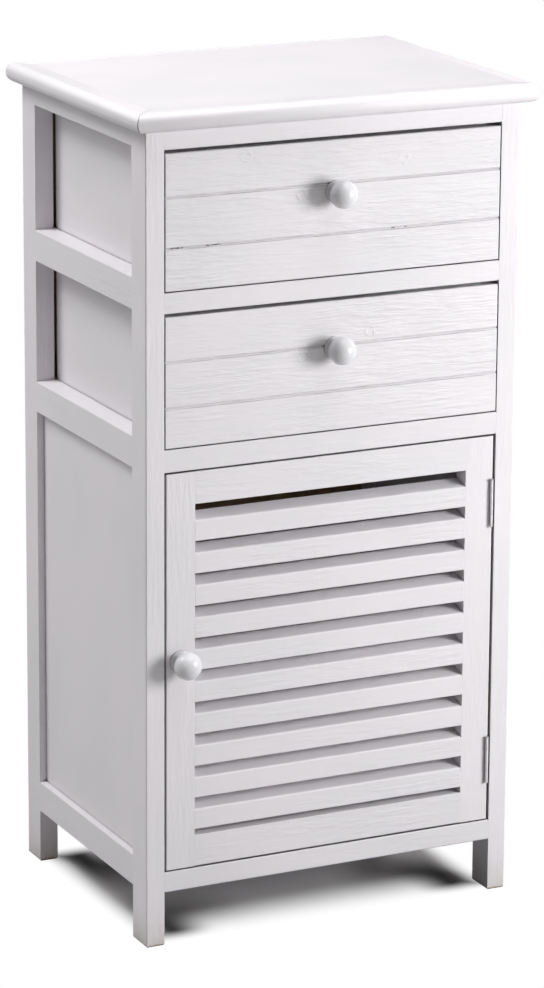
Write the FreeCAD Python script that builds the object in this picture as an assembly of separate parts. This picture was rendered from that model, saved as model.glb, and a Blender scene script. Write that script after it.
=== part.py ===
import FreeCAD, Part

import math
import os

# Louvred door cabinet: two drawers over a cupboard, painted light timber.
# Millimetres, +Z up. The front looks along -Y, and +X is to the right of someone facing it.
# The origin is on the floor, under the middle of the whole cabinet with its knobs.

Vector = FreeCAD.Vector

# Table top
TOP_WIDTH = 400.0
TOP_DEPTH = 300.0
TOP_THICKNESS = 18.0
TOP_HEIGHT = 775.0
OVERHANG_SIDE = 14.0
OVERHANG_FRONT = 15.0
OVERHANG_BACK = 6.0
NOSING_WIDTH = 20.0
NOSING_RADIUS = 8.0

# Frame: posts and side rails are one 18 x 30 stock, front rails are cut to their openings
STOCK_THICKNESS = 18.0
STOCK_WIDTH = 30.0
LEG_CLEARANCE = 51.0
DOOR_OPENING_HEIGHT = 376.5
LOWER_DRAWER_OPENING_HEIGHT = 124.0
UPPER_DRAWER_OPENING_HEIGHT = 128.0
BOTTOM_RAIL_HEIGHT = 19.5
MIDDLE_RAIL_HEIGHT = 21.0
UPPER_RAIL_HEIGHT = 19.0
SIDE_TENON_LENGTH = 12.0
FRONT_TENON_LENGTH = 10.0
TENON_SHOULDER = 5.0
FRONT_TENON_SETBACK = 6.0
FRONT_TENON_THICKNESS = 10.0
EASED_EDGE = 0.8
FOOT_CHAMFER = 1.2

# Thin panels in grooves
GROOVE_DEPTH = 5.0
SIDE_PANEL_THICKNESS = 4.0
SIDE_PANEL_RECESS = 7.0
BACK_PANEL_THICKNESS = 3.0
BACK_PANEL_RECESS = 6.0

# Cupboard inside
CLEAT_SIZE = 12.0
FLOOR_BOARD_THICKNESS = 6.0
SHELF_THICKNESS = 9.0
SHELF_TOP = 262.0
SHELF_SIDE_CLEARANCE = 1.0

# Drawers
DRAWER_GAP_TOP = 3.2
DRAWER_GAP_SIDE = 1.2
DRAWER_GAP_BOTTOM = 1.0
PLANK_THICKNESS = 15.0
UPPER_PLANK_SHARES = (0.332, 0.358)
LOWER_PLANK_SHARES = (0.355, 0.340)
JOINT_CHAMFER = 1.4
TONGUE_LENGTH = 4.0
TONGUE_THICKNESS = 5.0
TONGUE_CLEARANCE = 0.3
DRAWER_SIDE_THICKNESS = 10.0
DRAWER_SIDE_CLEARANCE = 3.0
DRAWER_BOX_LENGTH = 235.0
DRAWER_HEADROOM = 8.0
DRAWER_BOTTOM_THICKNESS = 3.0
DRAWER_BOTTOM_RISE = 8.0
DRAWER_BOTTOM_GROOVE = 4.0
RUNNER_WIDTH = 18.0
RUNNER_HEIGHT = 10.0
RUNNER_LENGTH = 236.0
GUIDE_THICKNESS = 2.5
STOP_LENGTH = 10.0
UPPER_KNOB_HEIGHT = 689.0
LOWER_KNOB_HEIGHT = 546.0

# Door
DOOR_THICKNESS = 18.0
DOOR_GAP_KNOB_SIDE = 1.7
DOOR_GAP_HINGE_SIDE = 2.5
DOOR_GAP_ENDS = 1.5
STILE_WIDTH = 28.5
DOOR_RAIL_HEIGHT = 30.0
DOOR_TENON_LENGTH = 12.0
SLAT_COUNT = 10
SLAT_FACE = 19.5
SLAT_GAP = 10.85
SLAT_FIRST_GAP = 15.6
SLAT_TILT = 14.0
SLAT_TENON_LENGTH = 6.0
SLAT_TENON_SHOULDER = 4.0
DOOR_KNOB_HEIGHT = 270.0

# Butt hinges
HINGE_HEIGHT = 45.0
HINGE_MIDDLES = (131.0, 381.5)
LEAF_THICKNESS = 1.0
LEAF_DEPTH = 14.0
LEAF_RELIEF = 0.4
KNUCKLE_RADIUS = 2.0
KNUCKLE_STANDOFF = 2.3
KNUCKLE_INSET = 0.1
KNUCKLE_SHARE = 12.0
KNUCKLE_CLEARANCE = 0.25
PIN_RADIUS = 1.0
PIN_CLEARANCE = 0.05
PIN_HEAD_RADIUS = 1.8
PIN_HEAD_HEIGHT = 0.8

# Magnetic catch
CATCH_LENGTH = 28.0
CATCH_HEIGHT = 12.0
CATCH_EAR_LENGTH = 8.0
CATCH_EAR_THICKNESS = 2.0
CATCH_FROM_STILE = 12.0
CATCH_AIR = 0.3
PLATE_THICKNESS = 1.0
PLATE_HEIGHT = 10.0

# Turned knob
KNOB_PROJECTION = 28.0
KNOB_RADIUS = 13.0
KNOB_RIM = 15.5
KNOB_FLANGE_RADIUS = 10.4
KNOB_FLANGE_THICKNESS = 2.4
KNOB_NECK_RADIUS = 6.2
KNOB_NECK_START = 4.8
KNOB_NECK_END = 8.6
DOME_BANDS = 5

# Places that follow from the sizes above
CARCASS_WIDTH = TOP_WIDTH - 2 * OVERHANG_SIDE
CARCASS_DEPTH = TOP_DEPTH - OVERHANG_FRONT - OVERHANG_BACK
OUTER = CARCASS_WIDTH / 2
INNER = OUTER - STOCK_THICKNESS
FRONT = KNOB_PROJECTION - (KNOB_PROJECTION + CARCASS_DEPTH + OVERHANG_BACK) / 2
BACK = FRONT + CARCASS_DEPTH
FRONT_POST_BACK = FRONT + STOCK_WIDTH
REAR_POST_FRONT = BACK - STOCK_WIDTH
TOP_UNDERSIDE = TOP_HEIGHT - TOP_THICKNESS

DOOR_OPENING_LOW = LEG_CLEARANCE + BOTTOM_RAIL_HEIGHT
MIDDLE_RAIL_LOW = DOOR_OPENING_LOW + DOOR_OPENING_HEIGHT
LOWER_DRAWER_LOW = MIDDLE_RAIL_LOW + MIDDLE_RAIL_HEIGHT
UPPER_RAIL_LOW = LOWER_DRAWER_LOW + LOWER_DRAWER_OPENING_HEIGHT
UPPER_DRAWER_LOW = UPPER_RAIL_LOW + UPPER_RAIL_HEIGHT
TOP_RAIL_LOW = UPPER_DRAWER_LOW + UPPER_DRAWER_OPENING_HEIGHT
TOP_RAIL = (TOP_RAIL_LOW, TOP_UNDERSIDE)

FRONT_RAILS = {
    "bottom": (LEG_CLEARANCE, DOOR_OPENING_LOW),
    "middle": (MIDDLE_RAIL_LOW, LOWER_DRAWER_LOW),
    "upper": (UPPER_RAIL_LOW, UPPER_DRAWER_LOW),
    "top": TOP_RAIL,
}
SIDE_RAILS = {
    "bottom": (LEG_CLEARANCE, LEG_CLEARANCE + STOCK_WIDTH),
    "middle": (MIDDLE_RAIL_LOW, MIDDLE_RAIL_LOW + STOCK_WIDTH),
    "upper": (UPPER_RAIL_LOW, UPPER_RAIL_LOW + STOCK_WIDTH),
    "top": TOP_RAIL,
}
BACK_RAILS = {"bottom": SIDE_RAILS["bottom"], "top": TOP_RAIL}

DOOR_LEFT = -INNER + DOOR_GAP_KNOB_SIDE
DOOR_RIGHT = INNER - DOOR_GAP_HINGE_SIDE
DOOR_LOW = DOOR_OPENING_LOW + DOOR_GAP_ENDS
DOOR_HIGH = MIDDLE_RAIL_LOW - DOOR_GAP_ENDS
DOOR_BACK = FRONT + DOOR_THICKNESS
FIELD_LEFT = DOOR_LEFT + STILE_WIDTH
FIELD_RIGHT = DOOR_RIGHT - STILE_WIDTH
FIELD_HIGH = DOOR_HIGH - DOOR_RAIL_HEIGHT

HINGE_X = DOOR_RIGHT - KNUCKLE_RADIUS - KNUCKLE_INSET
HINGE_Y = FRONT - KNUCKLE_STANDOFF


# Small helpers: a span is a (low, high) pair along one axis

def block(x, y, z):
    """A squared piece of timber between three spans."""
    return Part.makeBox(x[1] - x[0], y[1] - y[0], z[1] - z[0], Vector(x[0], y[0], z[0]))


def inset(span, margin):
    """The span shortened by a margin at both ends."""
    return (span[0] + margin, span[1] - margin)


def both_ways(reach):
    """A span that reaches equally far either side of the middle plane."""
    return (-reach, reach)


def ease(solid, size, x=None, y=None, z=None):
    """Chamfer the straight edges whose ends all lie at the given places."""
    def lies_there(edge):
        ends = [vertex.Point for vertex in edge.Vertexes]
        wanted = ((x, "x"), (y, "y"), (z, "z"))
        return all(
            abs(getattr(end, axis) - place) < 1e-6
            for place, axis in wanted if place is not None
            for end in ends
        )
    return solid.makeChamfer(size, [edge for edge in solid.Edges if lies_there(edge)])


def mirrored(solid):
    """The same piece for the other side of the cabinet."""
    return solid.mirror(Vector(0, 0, 0), Vector(1, 0, 0))


def group(solids):
    """Several separate solids that share one node."""
    return Part.makeCompound(solids)


def fused(solids):
    """One solid out of several that meet."""
    whole = solids[0].multiFuse(solids[1:])
    return whole.removeSplitter()


# Frame joints: each tenon is made once, added to its rail and cut from its post

def side_tenons(level):
    """Stub tenons of a right-hand side rail, one into each post."""
    x = inset((INNER, OUTER), TENON_SHOULDER)
    z = inset(level, TENON_SHOULDER)
    front = block(x, (FRONT_POST_BACK - SIDE_TENON_LENGTH, FRONT_POST_BACK), z)
    rear = block(x, (REAR_POST_FRONT, REAR_POST_FRONT + SIDE_TENON_LENGTH), z)
    return [front, rear]


def front_tenon(level):
    """Right-hand stub tenon of a front rail, kept ahead of the side rail's tenon."""
    y = (FRONT + FRONT_TENON_SETBACK, FRONT + FRONT_TENON_SETBACK + FRONT_TENON_THICKNESS)
    return block((INNER, INNER + FRONT_TENON_LENGTH), y, inset(level, TENON_SHOULDER))


def back_tenon(level):
    """Right-hand stub tenon of a back rail, kept behind the side rail's tenon."""
    y = inset((BACK - STOCK_THICKNESS, BACK), TENON_SHOULDER)
    return block((INNER, INNER + FRONT_TENON_LENGTH), y, inset(level, TENON_SHOULDER))


def side_panel():
    """Thin right-hand panel that fills the frame beside the cupboard, seated in grooves."""
    outer_face = OUTER - SIDE_PANEL_RECESS
    return block(
        (outer_face - SIDE_PANEL_THICKNESS, outer_face),
        (FRONT_POST_BACK - GROOVE_DEPTH, REAR_POST_FRONT + GROOVE_DEPTH),
        (SIDE_RAILS["bottom"][1] - GROOVE_DEPTH, MIDDLE_RAIL_LOW + GROOVE_DEPTH),
    )


def back_panel():
    """Thin panel that closes the back, seated in grooves of the rear posts and back rails."""
    outer_face = BACK - BACK_PANEL_RECESS
    return block(
        both_ways(INNER + GROOVE_DEPTH),
        (outer_face - BACK_PANEL_THICKNESS, outer_face),
        (BACK_RAILS["bottom"][1] - GROOVE_DEPTH, TOP_RAIL_LOW + GROOVE_DEPTH),
    )


# Carcass

def post(y, outer_y, sockets):
    """A right-hand post with its eased outer corner, eased foot and the sockets cut in it."""
    solid = block((INNER, OUTER), y, (0, TOP_UNDERSIDE))
    solid = ease(solid, EASED_EDGE, x=OUTER, y=outer_y)
    solid = ease(solid, FOOT_CHAMFER, z=0)
    return solid.cut(sockets + [side_panel(), back_panel()])


def front_post():
    """Right-hand front post: mortises for the side rails and the front rails."""
    sockets = [side_tenons(level)[0] for level in SIDE_RAILS.values()]
    sockets += [front_tenon(level) for level in FRONT_RAILS.values()]
    return post((FRONT, FRONT_POST_BACK), FRONT, sockets)


def rear_post():
    """Right-hand rear post: mortises for the side rails and the back rails."""
    sockets = [side_tenons(level)[1] for level in SIDE_RAILS.values()]
    sockets += [back_tenon(level) for level in BACK_RAILS.values()]
    return post((REAR_POST_FRONT, BACK), BACK, sockets)


def side_rail(level):
    """Right-hand rail between the posts, eased on its outer face."""
    solid = block((INNER, OUTER), (FRONT_POST_BACK, REAR_POST_FRONT), level)
    solid = ease(solid, EASED_EDGE, x=OUTER, z=level[0])
    if level != TOP_RAIL:
        solid = ease(solid, EASED_EDGE, x=OUTER, z=level[1])
    return fused([solid] + side_tenons(level)).cut(side_panel())


def cross_rail(y, level, tenon, outer_y):
    """A rail across the front or back with a tenon at each end."""
    solid = block(both_ways(INNER), y, level)
    solid = ease(solid, EASED_EDGE, y=outer_y, z=level[0])
    if level != TOP_RAIL:
        solid = ease(solid, EASED_EDGE, y=outer_y, z=level[1])
    return fused([solid, tenon, mirrored(tenon)]).cut(back_panel())


def front_rail(level):
    """Rail above or below an opening of the front."""
    return cross_rail((FRONT, FRONT_POST_BACK), level, front_tenon(level), FRONT)


def back_rail(level):
    """Rail that carries the back panel."""
    return cross_rail((BACK - STOCK_THICKNESS, BACK), level, back_tenon(level), BACK)


def floor_board():
    """Cupboard floor, level with the bottom rail and carried by two cleats."""
    return block(
        both_ways(INNER),
        (FRONT_POST_BACK, BACK - STOCK_THICKNESS),
        (DOOR_OPENING_LOW - FLOOR_BOARD_THICKNESS, DOOR_OPENING_LOW),
    )


def cleats(y, top):
    """A pair of square battens along the two sides, under a board."""
    solid = block((INNER - CLEAT_SIZE, INNER), y, (top - CLEAT_SIZE, top))
    inner_edge = ease(solid, EASED_EDGE, x=INNER - CLEAT_SIZE, z=top - CLEAT_SIZE)
    return group([inner_edge, mirrored(inner_edge)])


def floor_cleats():
    """Battens on the bottom side rails under the floor board."""
    return cleats((FRONT_POST_BACK, REAR_POST_FRONT), DOOR_OPENING_LOW - FLOOR_BOARD_THICKNESS)


def shelf_span_y():
    """Front to back of the inner shelf, from just behind the door to the back panel."""
    behind_door = DOOR_BACK + 2 * SHELF_SIDE_CLEARANCE
    back_face = BACK - BACK_PANEL_RECESS - BACK_PANEL_THICKNESS
    return (behind_door, back_face - SHELF_SIDE_CLEARANCE)


def inner_shelf():
    """Loose shelf halfway up the cupboard."""
    solid = block(
        both_ways(INNER - SHELF_SIDE_CLEARANCE),
        shelf_span_y(),
        (SHELF_TOP - SHELF_THICKNESS, SHELF_TOP),
    )
    return ease(solid, EASED_EDGE, y=shelf_span_y()[0])


def shelf_cleats():
    """Battens across the posts under the inner shelf."""
    return cleats(shelf_span_y(), SHELF_TOP - SHELF_THICKNESS)


def drawer_runners():
    """Four rebated battens on the side rails: each carries a drawer and guides its side."""
    y = (FRONT_POST_BACK, FRONT_POST_BACK + RUNNER_LENGTH)
    solids = []
    for place, low in (("middle", LOWER_DRAWER_LOW), ("upper", UPPER_DRAWER_LOW)):
        bed = block((INNER - RUNNER_WIDTH, INNER), y, (low - RUNNER_HEIGHT, low))
        guide = block((INNER - GUIDE_THICKNESS, INNER), y, (low, SIDE_RAILS[place][1]))
        runner = fused([bed, guide])
        solids += [runner, mirrored(runner)]
    return group(solids)


def drawer_stops():
    """Four blocks at the rear of the runners that a closed drawer rests against."""
    solids = []
    start = FRONT + PLANK_THICKNESS + DRAWER_BOX_LENGTH
    for low in (LOWER_DRAWER_LOW, UPPER_DRAWER_LOW):
        stop = block(
            (INNER - RUNNER_WIDTH, INNER - GUIDE_THICKNESS),
            (start, start + STOP_LENGTH),
            (low, low + STOP_LENGTH),
        )
        solids += [stop, mirrored(stop)]
    return group(solids)


# Table top: a board framed by four mitred nosing strips

def nosing(length):
    """A strip with rounded outer edges and mitred ends, its outer edge along y = 0."""
    strip = block(both_ways(length / 2), (0, NOSING_WIDTH), (TOP_UNDERSIDE, TOP_HEIGHT))
    outer_edges = [
        edge for edge in strip.Edges
        if all(abs(vertex.Point.y) < 1e-6 for vertex in edge.Vertexes)
        and edge.Vertexes[0].Point.z == edge.Vertexes[1].Point.z
    ]
    rounded = strip.makeFillet(NOSING_RADIUS, outer_edges)
    corners = [
        Vector(-length / 2, 0, TOP_UNDERSIDE),
        Vector(length / 2, 0, TOP_UNDERSIDE),
        Vector(length / 2 - NOSING_WIDTH, NOSING_WIDTH, TOP_UNDERSIDE),
        Vector(-length / 2 + NOSING_WIDTH, NOSING_WIDTH, TOP_UNDERSIDE),
    ]
    outline = Part.Face(Part.makePolygon(corners + corners[:1]))
    return rounded.common(outline.extrude(Vector(0, 0, TOP_THICKNESS)))


def placed_nosing(length, turn, x, y):
    """A nosing strip turned about the vertical and moved to its edge of the top."""
    strip = nosing(length)
    strip.rotate(Vector(0, 0, 0), Vector(0, 0, 1), turn)
    strip.translate(Vector(x, y, 0))
    return strip


def table_top():
    """The top board and its four strips, by node name."""
    front_edge = FRONT - OVERHANG_FRONT
    back_edge = BACK + OVERHANG_BACK
    middle = (front_edge + back_edge) / 2
    board = block(
        both_ways(TOP_WIDTH / 2 - NOSING_WIDTH),
        inset((front_edge, back_edge), NOSING_WIDTH),
        (TOP_UNDERSIDE, TOP_HEIGHT),
    )
    return {
        "top_board": board,
        "nosing_front": placed_nosing(TOP_WIDTH, 0, 0, front_edge),
        "nosing_back": placed_nosing(TOP_WIDTH, 180, 0, back_edge),
        "nosing_left": placed_nosing(TOP_DEPTH, -90, -TOP_WIDTH / 2, middle),
        "nosing_right": placed_nosing(TOP_DEPTH, 90, TOP_WIDTH / 2, middle),
    }


# Turned knob, shared by the drawers and the door

def dome_points():
    """Profile of the knob's domed face, turned in a few bands from its rim to its tip."""
    points = []
    for band in range(DOME_BANDS):
        angle = math.pi / 2 * band / DOME_BANDS
        height = KNOB_RIM + (KNOB_PROJECTION - KNOB_RIM) * math.sin(angle)
        points.append(Vector(KNOB_RADIUS * math.cos(angle), -height, 0))
    return points + [Vector(0, -KNOB_PROJECTION, 0)]


def knob(x, z):
    """Turned knob: a flange on the front face, a short neck and a domed head."""
    outline = [
        Vector(0, 0, 0),
        Vector(KNOB_FLANGE_RADIUS, 0, 0),
        Vector(KNOB_FLANGE_RADIUS, -KNOB_FLANGE_THICKNESS, 0),
        Vector(KNOB_NECK_RADIUS, -KNOB_NECK_START, 0),
        Vector(KNOB_NECK_RADIUS, -KNOB_NECK_END, 0),
    ]
    outline += dome_points()
    profile = Part.Face(Part.makePolygon(outline + outline[:1]))
    solid = profile.revolve(Vector(0, 0, 0), Vector(0, 1, 0), 360)
    solid.translate(Vector(x, FRONT, z))
    return solid


# Drawers

def plank(z, tongue_above, groove_below):
    """One board of a drawer front, V-jointed to its neighbours by tongue and groove."""
    x = both_ways(INNER - DRAWER_GAP_SIDE)
    solid = block(x, (FRONT, FRONT + PLANK_THICKNESS), z)
    solid = ease(solid, JOINT_CHAMFER if groove_below else EASED_EDGE, y=FRONT, z=z[0])
    solid = ease(solid, JOINT_CHAMFER if tongue_above else EASED_EDGE, y=FRONT, z=z[1])
    tongue_y = inset((FRONT, FRONT + PLANK_THICKNESS), (PLANK_THICKNESS - TONGUE_THICKNESS) / 2)
    if tongue_above:
        solid = fused([solid, block(x, tongue_y, (z[1], z[1] + TONGUE_LENGTH))])
    if groove_below:
        groove = block(x, tongue_y, (z[0], z[0] + TONGUE_LENGTH + TONGUE_CLEARANCE))
        solid = solid.cut(groove)
    return solid


def drawer(name, low, opening_height, shares, knob_height):
    """Every piece of one drawer, by node name."""
    high = low + opening_height
    joints = [high - shares[0] * opening_height, high - sum(shares) * opening_height]
    rear = FRONT + PLANK_THICKNESS + DRAWER_BOX_LENGTH
    side_outer = INNER - DRAWER_SIDE_CLEARANCE
    side_inner = side_outer - DRAWER_SIDE_THICKNESS
    side_high = high - DRAWER_HEADROOM
    floor = (low + DRAWER_BOTTOM_RISE, low + DRAWER_BOTTOM_RISE + DRAWER_BOTTOM_THICKNESS)
    side_end = rear - DRAWER_SIDE_THICKNESS
    bottom = block(
        both_ways(side_inner + DRAWER_BOTTOM_GROOVE),
        (FRONT + PLANK_THICKNESS - GROOVE_DEPTH, side_end + DRAWER_BOTTOM_GROOVE),
        floor,
    )
    side = block((side_inner, side_outer), (FRONT + PLANK_THICKNESS, side_end), (low, side_high))
    side = ease(side, EASED_EDGE, z=side_high).cut(bottom)
    back = block(both_ways(side_outer), (side_end, rear), (low, side_high))
    back = ease(back, EASED_EDGE, z=side_high).cut(bottom)
    lowest_plank = plank((low + DRAWER_GAP_BOTTOM, joints[1]), True, False)
    return {
        name + "_plank_top": plank((joints[0], high - DRAWER_GAP_TOP), False, True),
        name + "_plank_middle": plank((joints[1], joints[0]), True, True),
        name + "_plank_bottom": lowest_plank.cut(bottom),
        name + "_side_left": mirrored(side),
        name + "_side_right": side,
        name + "_back": back,
        name + "_bottom": bottom,
        name + "_knob": knob(0, knob_height),
    }


# Louvred door

def slat_section(x, shoulder, low):
    """A slat or its tenon: front and back upright, top and bottom rising to the back."""
    slope = math.tan(math.radians(SLAT_TILT))
    front = FRONT + shoulder
    back = DOOR_BACK - shoulder
    base = low + shoulder
    top = low + SLAT_FACE - shoulder
    corners = [
        Vector(x[0], front, base + slope * (front - FRONT)),
        Vector(x[0], back, base + slope * (back - FRONT)),
        Vector(x[0], back, top + slope * (back - FRONT)),
        Vector(x[0], front, top + slope * (front - FRONT)),
    ]
    outline = Part.Face(Part.makePolygon(corners + corners[:1]))
    return outline.extrude(Vector(x[1] - x[0], 0, 0))


def slat_lows():
    """Height of the front lower edge of each slat, from the top one down."""
    highest = FIELD_HIGH - SLAT_FIRST_GAP - SLAT_FACE
    return [highest - count * (SLAT_FACE + SLAT_GAP) for count in range(SLAT_COUNT)]


def slat_tenon(low):
    """The stub tenon that runs through a slat into both stiles."""
    reach = (FIELD_LEFT - SLAT_TENON_LENGTH, FIELD_RIGHT + SLAT_TENON_LENGTH)
    return slat_section(reach, SLAT_TENON_SHOULDER, low)


def slat(low):
    """One tilted slat with eased front edges and a stub tenon at each end."""
    body = slat_section((FIELD_LEFT, FIELD_RIGHT), 0, low)
    for level in (low, low + SLAT_FACE):
        body = ease(body, EASED_EDGE, y=FRONT, z=level)
    return fused([body, slat_tenon(low)])


def door_rail(z):
    """Door rail between the stiles with a stub tenon at each end."""
    solid = block((FIELD_LEFT, FIELD_RIGHT), (FRONT, DOOR_BACK), z)
    return fused([solid, door_rail_tenon(z)])


def door_rail_tenon(z):
    """The stub tenon that runs through a door rail into both stiles."""
    x = (FIELD_LEFT - DOOR_TENON_LENGTH, FIELD_RIGHT + DOOR_TENON_LENGTH)
    return block(x, inset((FRONT, DOOR_BACK), TENON_SHOULDER), inset(z, TENON_SHOULDER))


def stile(x, outer_x):
    """Upright of the door, mortised for both rails and housing every slat."""
    solid = block(x, (FRONT, DOOR_BACK), (DOOR_LOW, DOOR_HIGH))
    solid = ease(solid, EASED_EDGE, x=outer_x, y=FRONT)
    sockets = [door_rail_tenon(z) for z in door_rail_levels()]
    sockets += [slat_tenon(low) for low in slat_lows()]
    return solid.cut(sockets)


def door_rail_levels():
    """Heights of the bottom and the top rail of the door."""
    return ((DOOR_LOW, DOOR_LOW + DOOR_RAIL_HEIGHT), (FIELD_HIGH, DOOR_HIGH))


def leaf(middle, x, knuckle_spans):
    """One leaf of a butt hinge: a flat plate whose straps turn in front of the door into knuckles."""
    plate_front = FRONT + LEAF_RELIEF
    strap_front = HINGE_Y - KNUCKLE_RADIUS
    height = (middle - HINGE_HEIGHT / 2, middle + HINGE_HEIGHT / 2)
    solids = [block(x, (plate_front, plate_front + LEAF_DEPTH), height)]
    for span in knuckle_spans:
        solids.append(block(x, (strap_front, plate_front), span))
        solids.append(block((HINGE_X, x[1]), (strap_front, strap_front + LEAF_THICKNESS), span))
        solids.append(upright_cylinder(KNUCKLE_RADIUS, span))
    return fused(solids).cut(upright_cylinder(PIN_RADIUS + PIN_CLEARANCE, height))


def upright_cylinder(radius, z):
    """A cylinder on the hinge axis."""
    return Part.makeCylinder(radius, z[1] - z[0], Vector(HINGE_X, HINGE_Y, z[0]))


def frame_leaf(middle):
    """Leaf on the post, with the upper and the lower knuckle."""
    low = middle - HINGE_HEIGHT / 2
    high = middle + HINGE_HEIGHT / 2
    spans = [(low, low + KNUCKLE_SHARE), (high - KNUCKLE_SHARE, high)]
    return leaf(middle, (INNER - LEAF_THICKNESS, INNER), spans)


def door_leaf(middle):
    """Leaf on the door, with the middle knuckle."""
    spans = [inset((middle - HINGE_HEIGHT / 2, middle + HINGE_HEIGHT / 2),
                   KNUCKLE_SHARE + KNUCKLE_CLEARANCE)]
    return leaf(middle, (DOOR_RIGHT, DOOR_RIGHT + LEAF_THICKNESS), spans)


def hinge_pin(middle):
    """Headed pin that drops through the knuckles."""
    low = middle - HINGE_HEIGHT / 2
    high = middle + HINGE_HEIGHT / 2
    head = upright_cylinder(PIN_HEAD_RADIUS, (high, high + PIN_HEAD_HEIGHT))
    return fused([upright_cylinder(PIN_RADIUS, (low, high)), head])


def catch_x():
    """Left and right end of the catch housing, near the knob side of the door."""
    left = FIELD_LEFT + CATCH_FROM_STILE
    return (left, left + CATCH_LENGTH)


def door_catch():
    """Magnetic catch under the middle rail, behind the door, with a screw ear at each end."""
    y = (DOOR_BACK + PLATE_THICKNESS + CATCH_AIR, FRONT_POST_BACK)
    housing = block(catch_x(), y, (MIDDLE_RAIL_LOW - CATCH_HEIGHT, MIDDLE_RAIL_LOW))
    housing = ease(housing, EASED_EDGE, z=MIDDLE_RAIL_LOW - CATCH_HEIGHT)
    ears = block(
        (catch_x()[0] - CATCH_EAR_LENGTH, catch_x()[1] + CATCH_EAR_LENGTH),
        y,
        (MIDDLE_RAIL_LOW - CATCH_EAR_THICKNESS, MIDDLE_RAIL_LOW),
    )
    return fused([housing, ears])


def catch_plate():
    """Steel plate on the back of the door that meets the catch."""
    top = MIDDLE_RAIL_LOW - CATCH_EAR_THICKNESS - EASED_EDGE
    solid = block(catch_x(), (DOOR_BACK, DOOR_BACK + PLATE_THICKNESS), (top - PLATE_HEIGHT, top))
    return solid


def door():
    """Every piece of the door, by node name."""
    bottom_level, top_level = door_rail_levels()
    bottom = ease(door_rail(bottom_level), EASED_EDGE, y=FRONT, z=DOOR_LOW)
    top = ease(door_rail(top_level), EASED_EDGE, y=FRONT, z=DOOR_HIGH)
    return {
        "door_stile_knob_side": stile((DOOR_LEFT, FIELD_LEFT), DOOR_LEFT),
        "door_stile_hinge_side": stile((FIELD_RIGHT, DOOR_RIGHT), DOOR_RIGHT),
        "door_rail_bottom": bottom,
        "door_rail_top": top,
        "louvre_slats": group([slat(low) for low in slat_lows()]),
        "hinge_door_leaves": group([door_leaf(middle) for middle in HINGE_MIDDLES]),
        "catch_plate": catch_plate(),
        "door_knob": knob((DOOR_LEFT + FIELD_LEFT) / 2, DOOR_KNOB_HEIGHT),
    }


def carcass():
    """Every fixed piece, by node name."""
    pieces = {
        "post_front_left": mirrored(front_post()),
        "post_front_right": front_post(),
        "post_rear_left": mirrored(rear_post()),
        "post_rear_right": rear_post(),
        "side_panel_left": mirrored(side_panel()),
        "side_panel_right": side_panel(),
        "back_panel": back_panel(),
        "floor_board": floor_board(),
        "floor_cleats": floor_cleats(),
        "inner_shelf": inner_shelf(),
        "shelf_cleats": shelf_cleats(),
        "drawer_runners": drawer_runners(),
        "drawer_stops": drawer_stops(),
        "hinge_frame_leaves": group([frame_leaf(middle) for middle in HINGE_MIDDLES]),
        "hinge_pins": group([hinge_pin(middle) for middle in HINGE_MIDDLES]),
        "door_catch": door_catch(),
    }
    for place, level in SIDE_RAILS.items():
        pieces["side_rail_left_" + place] = mirrored(side_rail(level))
        pieces["side_rail_right_" + place] = side_rail(level)
    for place, level in FRONT_RAILS.items():
        pieces["front_rail_" + place] = front_rail(level)
    for place, level in BACK_RAILS.items():
        pieces["back_rail_" + place] = back_rail(level)
    return pieces


def cabinet():
    """The whole cabinet, by node name."""
    pieces = carcass()
    pieces.update(table_top())
    pieces.update(drawer(
        "upper_drawer", UPPER_DRAWER_LOW, UPPER_DRAWER_OPENING_HEIGHT,
        UPPER_PLANK_SHARES, UPPER_KNOB_HEIGHT,
    ))
    pieces.update(drawer(
        "lower_drawer", LOWER_DRAWER_LOW, LOWER_DRAWER_OPENING_HEIGHT,
        LOWER_PLANK_SHARES, LOWER_KNOB_HEIGHT,
    ))
    pieces.update(door())
    return pieces


os.makedirs("parts", exist_ok=True)
for node, shape in cabinet().items():
    shape.exportStep("parts/" + node + ".step")
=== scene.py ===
"""Looks of a louvred door cabinet: white paint over light timber, turned knobs and small hardware."""

import logging
import math
from collections.abc import Callable, Iterable
from dataclasses import dataclass, field
from enum import Enum

import bmesh
import bpy
from mathutils import Matrix, Vector


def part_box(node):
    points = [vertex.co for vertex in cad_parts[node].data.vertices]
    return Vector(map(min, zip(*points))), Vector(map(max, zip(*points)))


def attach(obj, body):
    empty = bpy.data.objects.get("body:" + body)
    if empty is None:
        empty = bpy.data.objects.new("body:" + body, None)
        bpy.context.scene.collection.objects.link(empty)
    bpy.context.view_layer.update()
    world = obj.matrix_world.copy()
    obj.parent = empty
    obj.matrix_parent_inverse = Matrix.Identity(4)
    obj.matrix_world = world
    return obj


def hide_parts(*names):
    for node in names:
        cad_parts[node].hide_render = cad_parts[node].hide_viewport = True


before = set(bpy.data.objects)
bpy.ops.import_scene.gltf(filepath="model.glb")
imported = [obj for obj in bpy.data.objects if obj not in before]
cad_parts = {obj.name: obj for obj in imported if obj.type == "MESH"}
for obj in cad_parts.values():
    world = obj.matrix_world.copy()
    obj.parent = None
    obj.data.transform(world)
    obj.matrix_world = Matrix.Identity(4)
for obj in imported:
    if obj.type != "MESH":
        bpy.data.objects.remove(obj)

LOG = logging.getLogger("cabinet")
MM = 0.001
TINY = 1e-6
SHARP_ANGLE = math.radians(32)
FULL_LEVEL = 255
TOE_END, TOE_SLOPE = 0.04045, 12.92
TONE_LIFT, TONE_POWER = 0.055, 2.4
MIX_FACTOR, MIX_FIRST, MIX_SECOND, MIX_RESULT = 0, 6, 7, 2

Colour = tuple[float, float, float, float]
Socket = bpy.types.NodeSocket
Feed = Socket | float | tuple


# ---------------------------------------------------------------- colours and choices

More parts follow.
